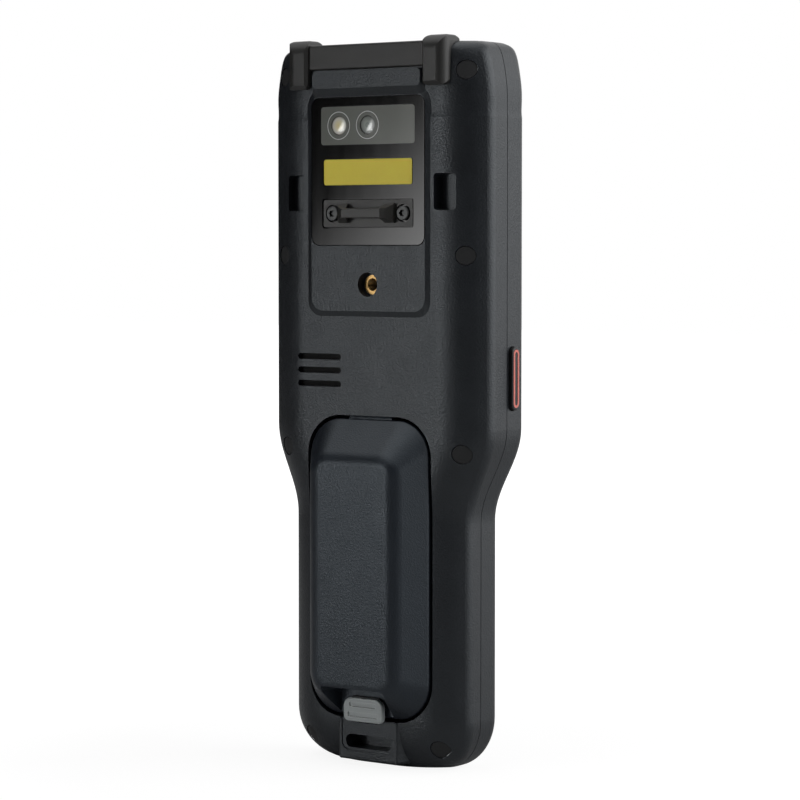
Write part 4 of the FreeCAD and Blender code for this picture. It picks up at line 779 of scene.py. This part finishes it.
world = bpy.data.worlds.new("white_room")
bpy.context.scene.world = world
world.use_nodes = True
sky = world.node_tree
sky.nodes.clear()
rays = sky.nodes.new("ShaderNodeLightPath")
seen = calculate(sky, "MAXIMUM", rays.outputs["Is Camera Ray"], rays.outputs["Is Glossy Ray"])
seen = calculate(sky, "MAXIMUM", seen, rays.outputs["Is Transmission Ray"])
room = blend_surfaces(sky, seen, white_light(sky, ROOM_LIGHT), white_light(sky, ROOM_WHITE))
sky_out = sky.nodes.new("ShaderNodeOutputWorld")
sky.links.new(room, sky_out.inputs["Surface"])
print("room light:", ROOM_LIGHT)

# %% Lamps
MIDDLE = (0, 0, 0.12)


def lamp(name, place, size, power):
    """A soft oblong lamp at a place, turned to the middle of the terminal."""
    data = bpy.data.lights.new(name, "AREA")
    data.shape = "RECTANGLE"
    data.size, data.size_y = size
    data.energy = power
    thing = bpy.data.objects.new(name, data)
    bpy.context.scene.collection.objects.link(thing)
    thing.location = place
    thing.rotation_mode = "QUATERNION"
    thing.rotation_quaternion = (Vector(MIDDLE) - Vector(place)).to_track_quat("-Z", "Y")
    return thing


lamps = [
    lamp("lamp_right_behind", place=(-1.24, -0.52, 0.36), size=(1.5, 1.7), power=17),
    lamp("lamp_top", place=(0.2, 0.3, 1.6), size=(1.2, 1.2), power=4),
]
print("lamps:", [thing.name for thing in lamps])

# %% [markdown]
# ## Floor
# The floor is a pale sheet. A plain one would turn grey where the light falls off, so it also glows for
# the camera alone: partly near the terminal, which keeps a soft shadow, and fully further out, where it
# meets the white of the room.

# %% Plain sheets
def plain_sheet(name, matrix, width, height, finish):
    """A flat sheet of the studio, which isn't part of the terminal."""
    shape = bmesh.new()
    bmesh.ops.create_grid(shape, x_segments=8, y_segments=8, size=0.5)
    bmesh.ops.scale(shape, vec=(width, height, 1), verts=shape.verts)
    bmesh.ops.transform(shape, matrix=matrix, verts=shape.verts)
    mesh = bpy.data.meshes.new(name)
    shape.to_mesh(mesh)
    shape.free()
    thing = bpy.data.objects.new(name, mesh)
    bpy.context.scene.collection.objects.link(thing)
    mesh.materials.append(finish)
    thing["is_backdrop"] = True
    return thing


print("sheet helper ready")

# %% Floor
FLOOR_SIZE, FLOOR_DROP = 8.0, 0.0002
FLOOR_PATCH, FLOOR_GLOW = 0.4, 1.25
NEAR, FAR = 0.1, 0.7
NEAR_SHARE, FAR_SHARE = 0.72, 1.0


def floor_finish():
    """Pale floor that keeps a soft shadow near the terminal and is plain white further out."""
    finish, tree, shader, place = new_finish("pale_floor")
    tone = ramp(tree, noise(tree, place, FLOOR_PATCH), [(0.0, grey(0.86)), (1.0, grey(0.90))])
    tree.links.new(tone, shader.inputs["Base Color"])
    shader.inputs["Roughness"].default_value = 0.9
    glow = tree.nodes.new("ShaderNodeEmission")
    glow.inputs["Strength"].default_value = FLOOR_GLOW
    away = rescale(tree, vector_math(tree, "LENGTH", place), NEAR_SHARE, FAR_SHARE, NEAR, FAR)
    path = tree.nodes.new("ShaderNodeLightPath")
    share = calculate(tree, "MULTIPLY", path.outputs["Is Camera Ray"], away)
    show_instead(tree, blend_surfaces(tree, share, shader.outputs["BSDF"], glow.outputs["Emission"]))
    return finish


plain_sheet("floor", Matrix.Translation((0, 0, -FLOOR_DROP)), FLOOR_SIZE, FLOOR_SIZE, floor_finish())
print("floor width:", FLOOR_SIZE)

# %% Dark cards
CARD_PATCH = 0.2


def facing_matrix(centre):
    """Stands a sheet upright at a place, square to the terminal."""
    inward = Vector((MIDDLE[0] - centre[0], MIDDLE[1] - centre[1], 0.0))
    return Matrix.Translation(centre) @ inward.to_track_quat("Z", "Y").to_matrix().to_4x4()


def dark_card(name, centre, width, height):
    """An upright black sheet that reflections see and the camera doesn't."""
    finish, tree, shader, place = new_finish(name)
    tone = ramp(tree, noise(tree, place, CARD_PATCH), [(0.0, grey(0.006)), (1.0, grey(0.010))])
    tree.links.new(tone, shader.inputs["Base Color"])
    shader.inputs["Roughness"].default_value = 1.0
    card = plain_sheet(name, facing_matrix(centre), width, height, finish)
    card.visible_camera = False
    return card


cards = [
    dark_card("dark_card_camera", centre=(-0.592, 1.269, 0.62), width=2.19, height=1.24),
    dark_card("dark_card_left", centre=(1.24, -0.25, 0.62), width=1.4, height=1.24),
]
print("dark cards:", [card.name for card in cards])

# %% Softbox
SLANT = (-0.605, 0.465, -0.646)
EDGE_START, EDGE_END = -0.126, 0.074


def softbox(name, centre, width, height, brightness):
    """An upright sheet that glows from nothing to full brightness across a soft slanting edge."""
    finish, tree, shader, place = new_finish(name)
    across = vector_math(tree, "DOT_PRODUCT", place, SLANT)
    glow = tree.nodes.new("ShaderNodeEmission")
    tree.links.new(rescale(tree, across, 0.0, brightness, EDGE_START, EDGE_END), glow.inputs["Strength"])
    show_instead(tree, glow.outputs["Emission"])
    tree.nodes.remove(shader)
    sheet = plain_sheet(name, facing_matrix(centre), width, height, finish)
    sheet.visible_camera = False
    return sheet


left_box = softbox("softbox_left", centre=(0.944, 0.865, 0.65), width=1.19, height=1.3, brightness=9.6)
print("softbox:", left_box.name)

# %% [markdown]
# ## View
# Blender's usual view softens bright colours. The Standard view leaves a colour about as it is written.

# %% View
bpy.context.scene.view_settings.view_transform = "Standard"
print("view transform:", bpy.context.scene.view_settings.view_transform)

# %% Size after dressing
dressed_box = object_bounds()
growth = [(dressed_box[i][k] - cad_box[i][k]) * 1000 for i in (0, 1) for k in range(3)]
print("size difference in mm:", [round(step, 3) for step in growth])
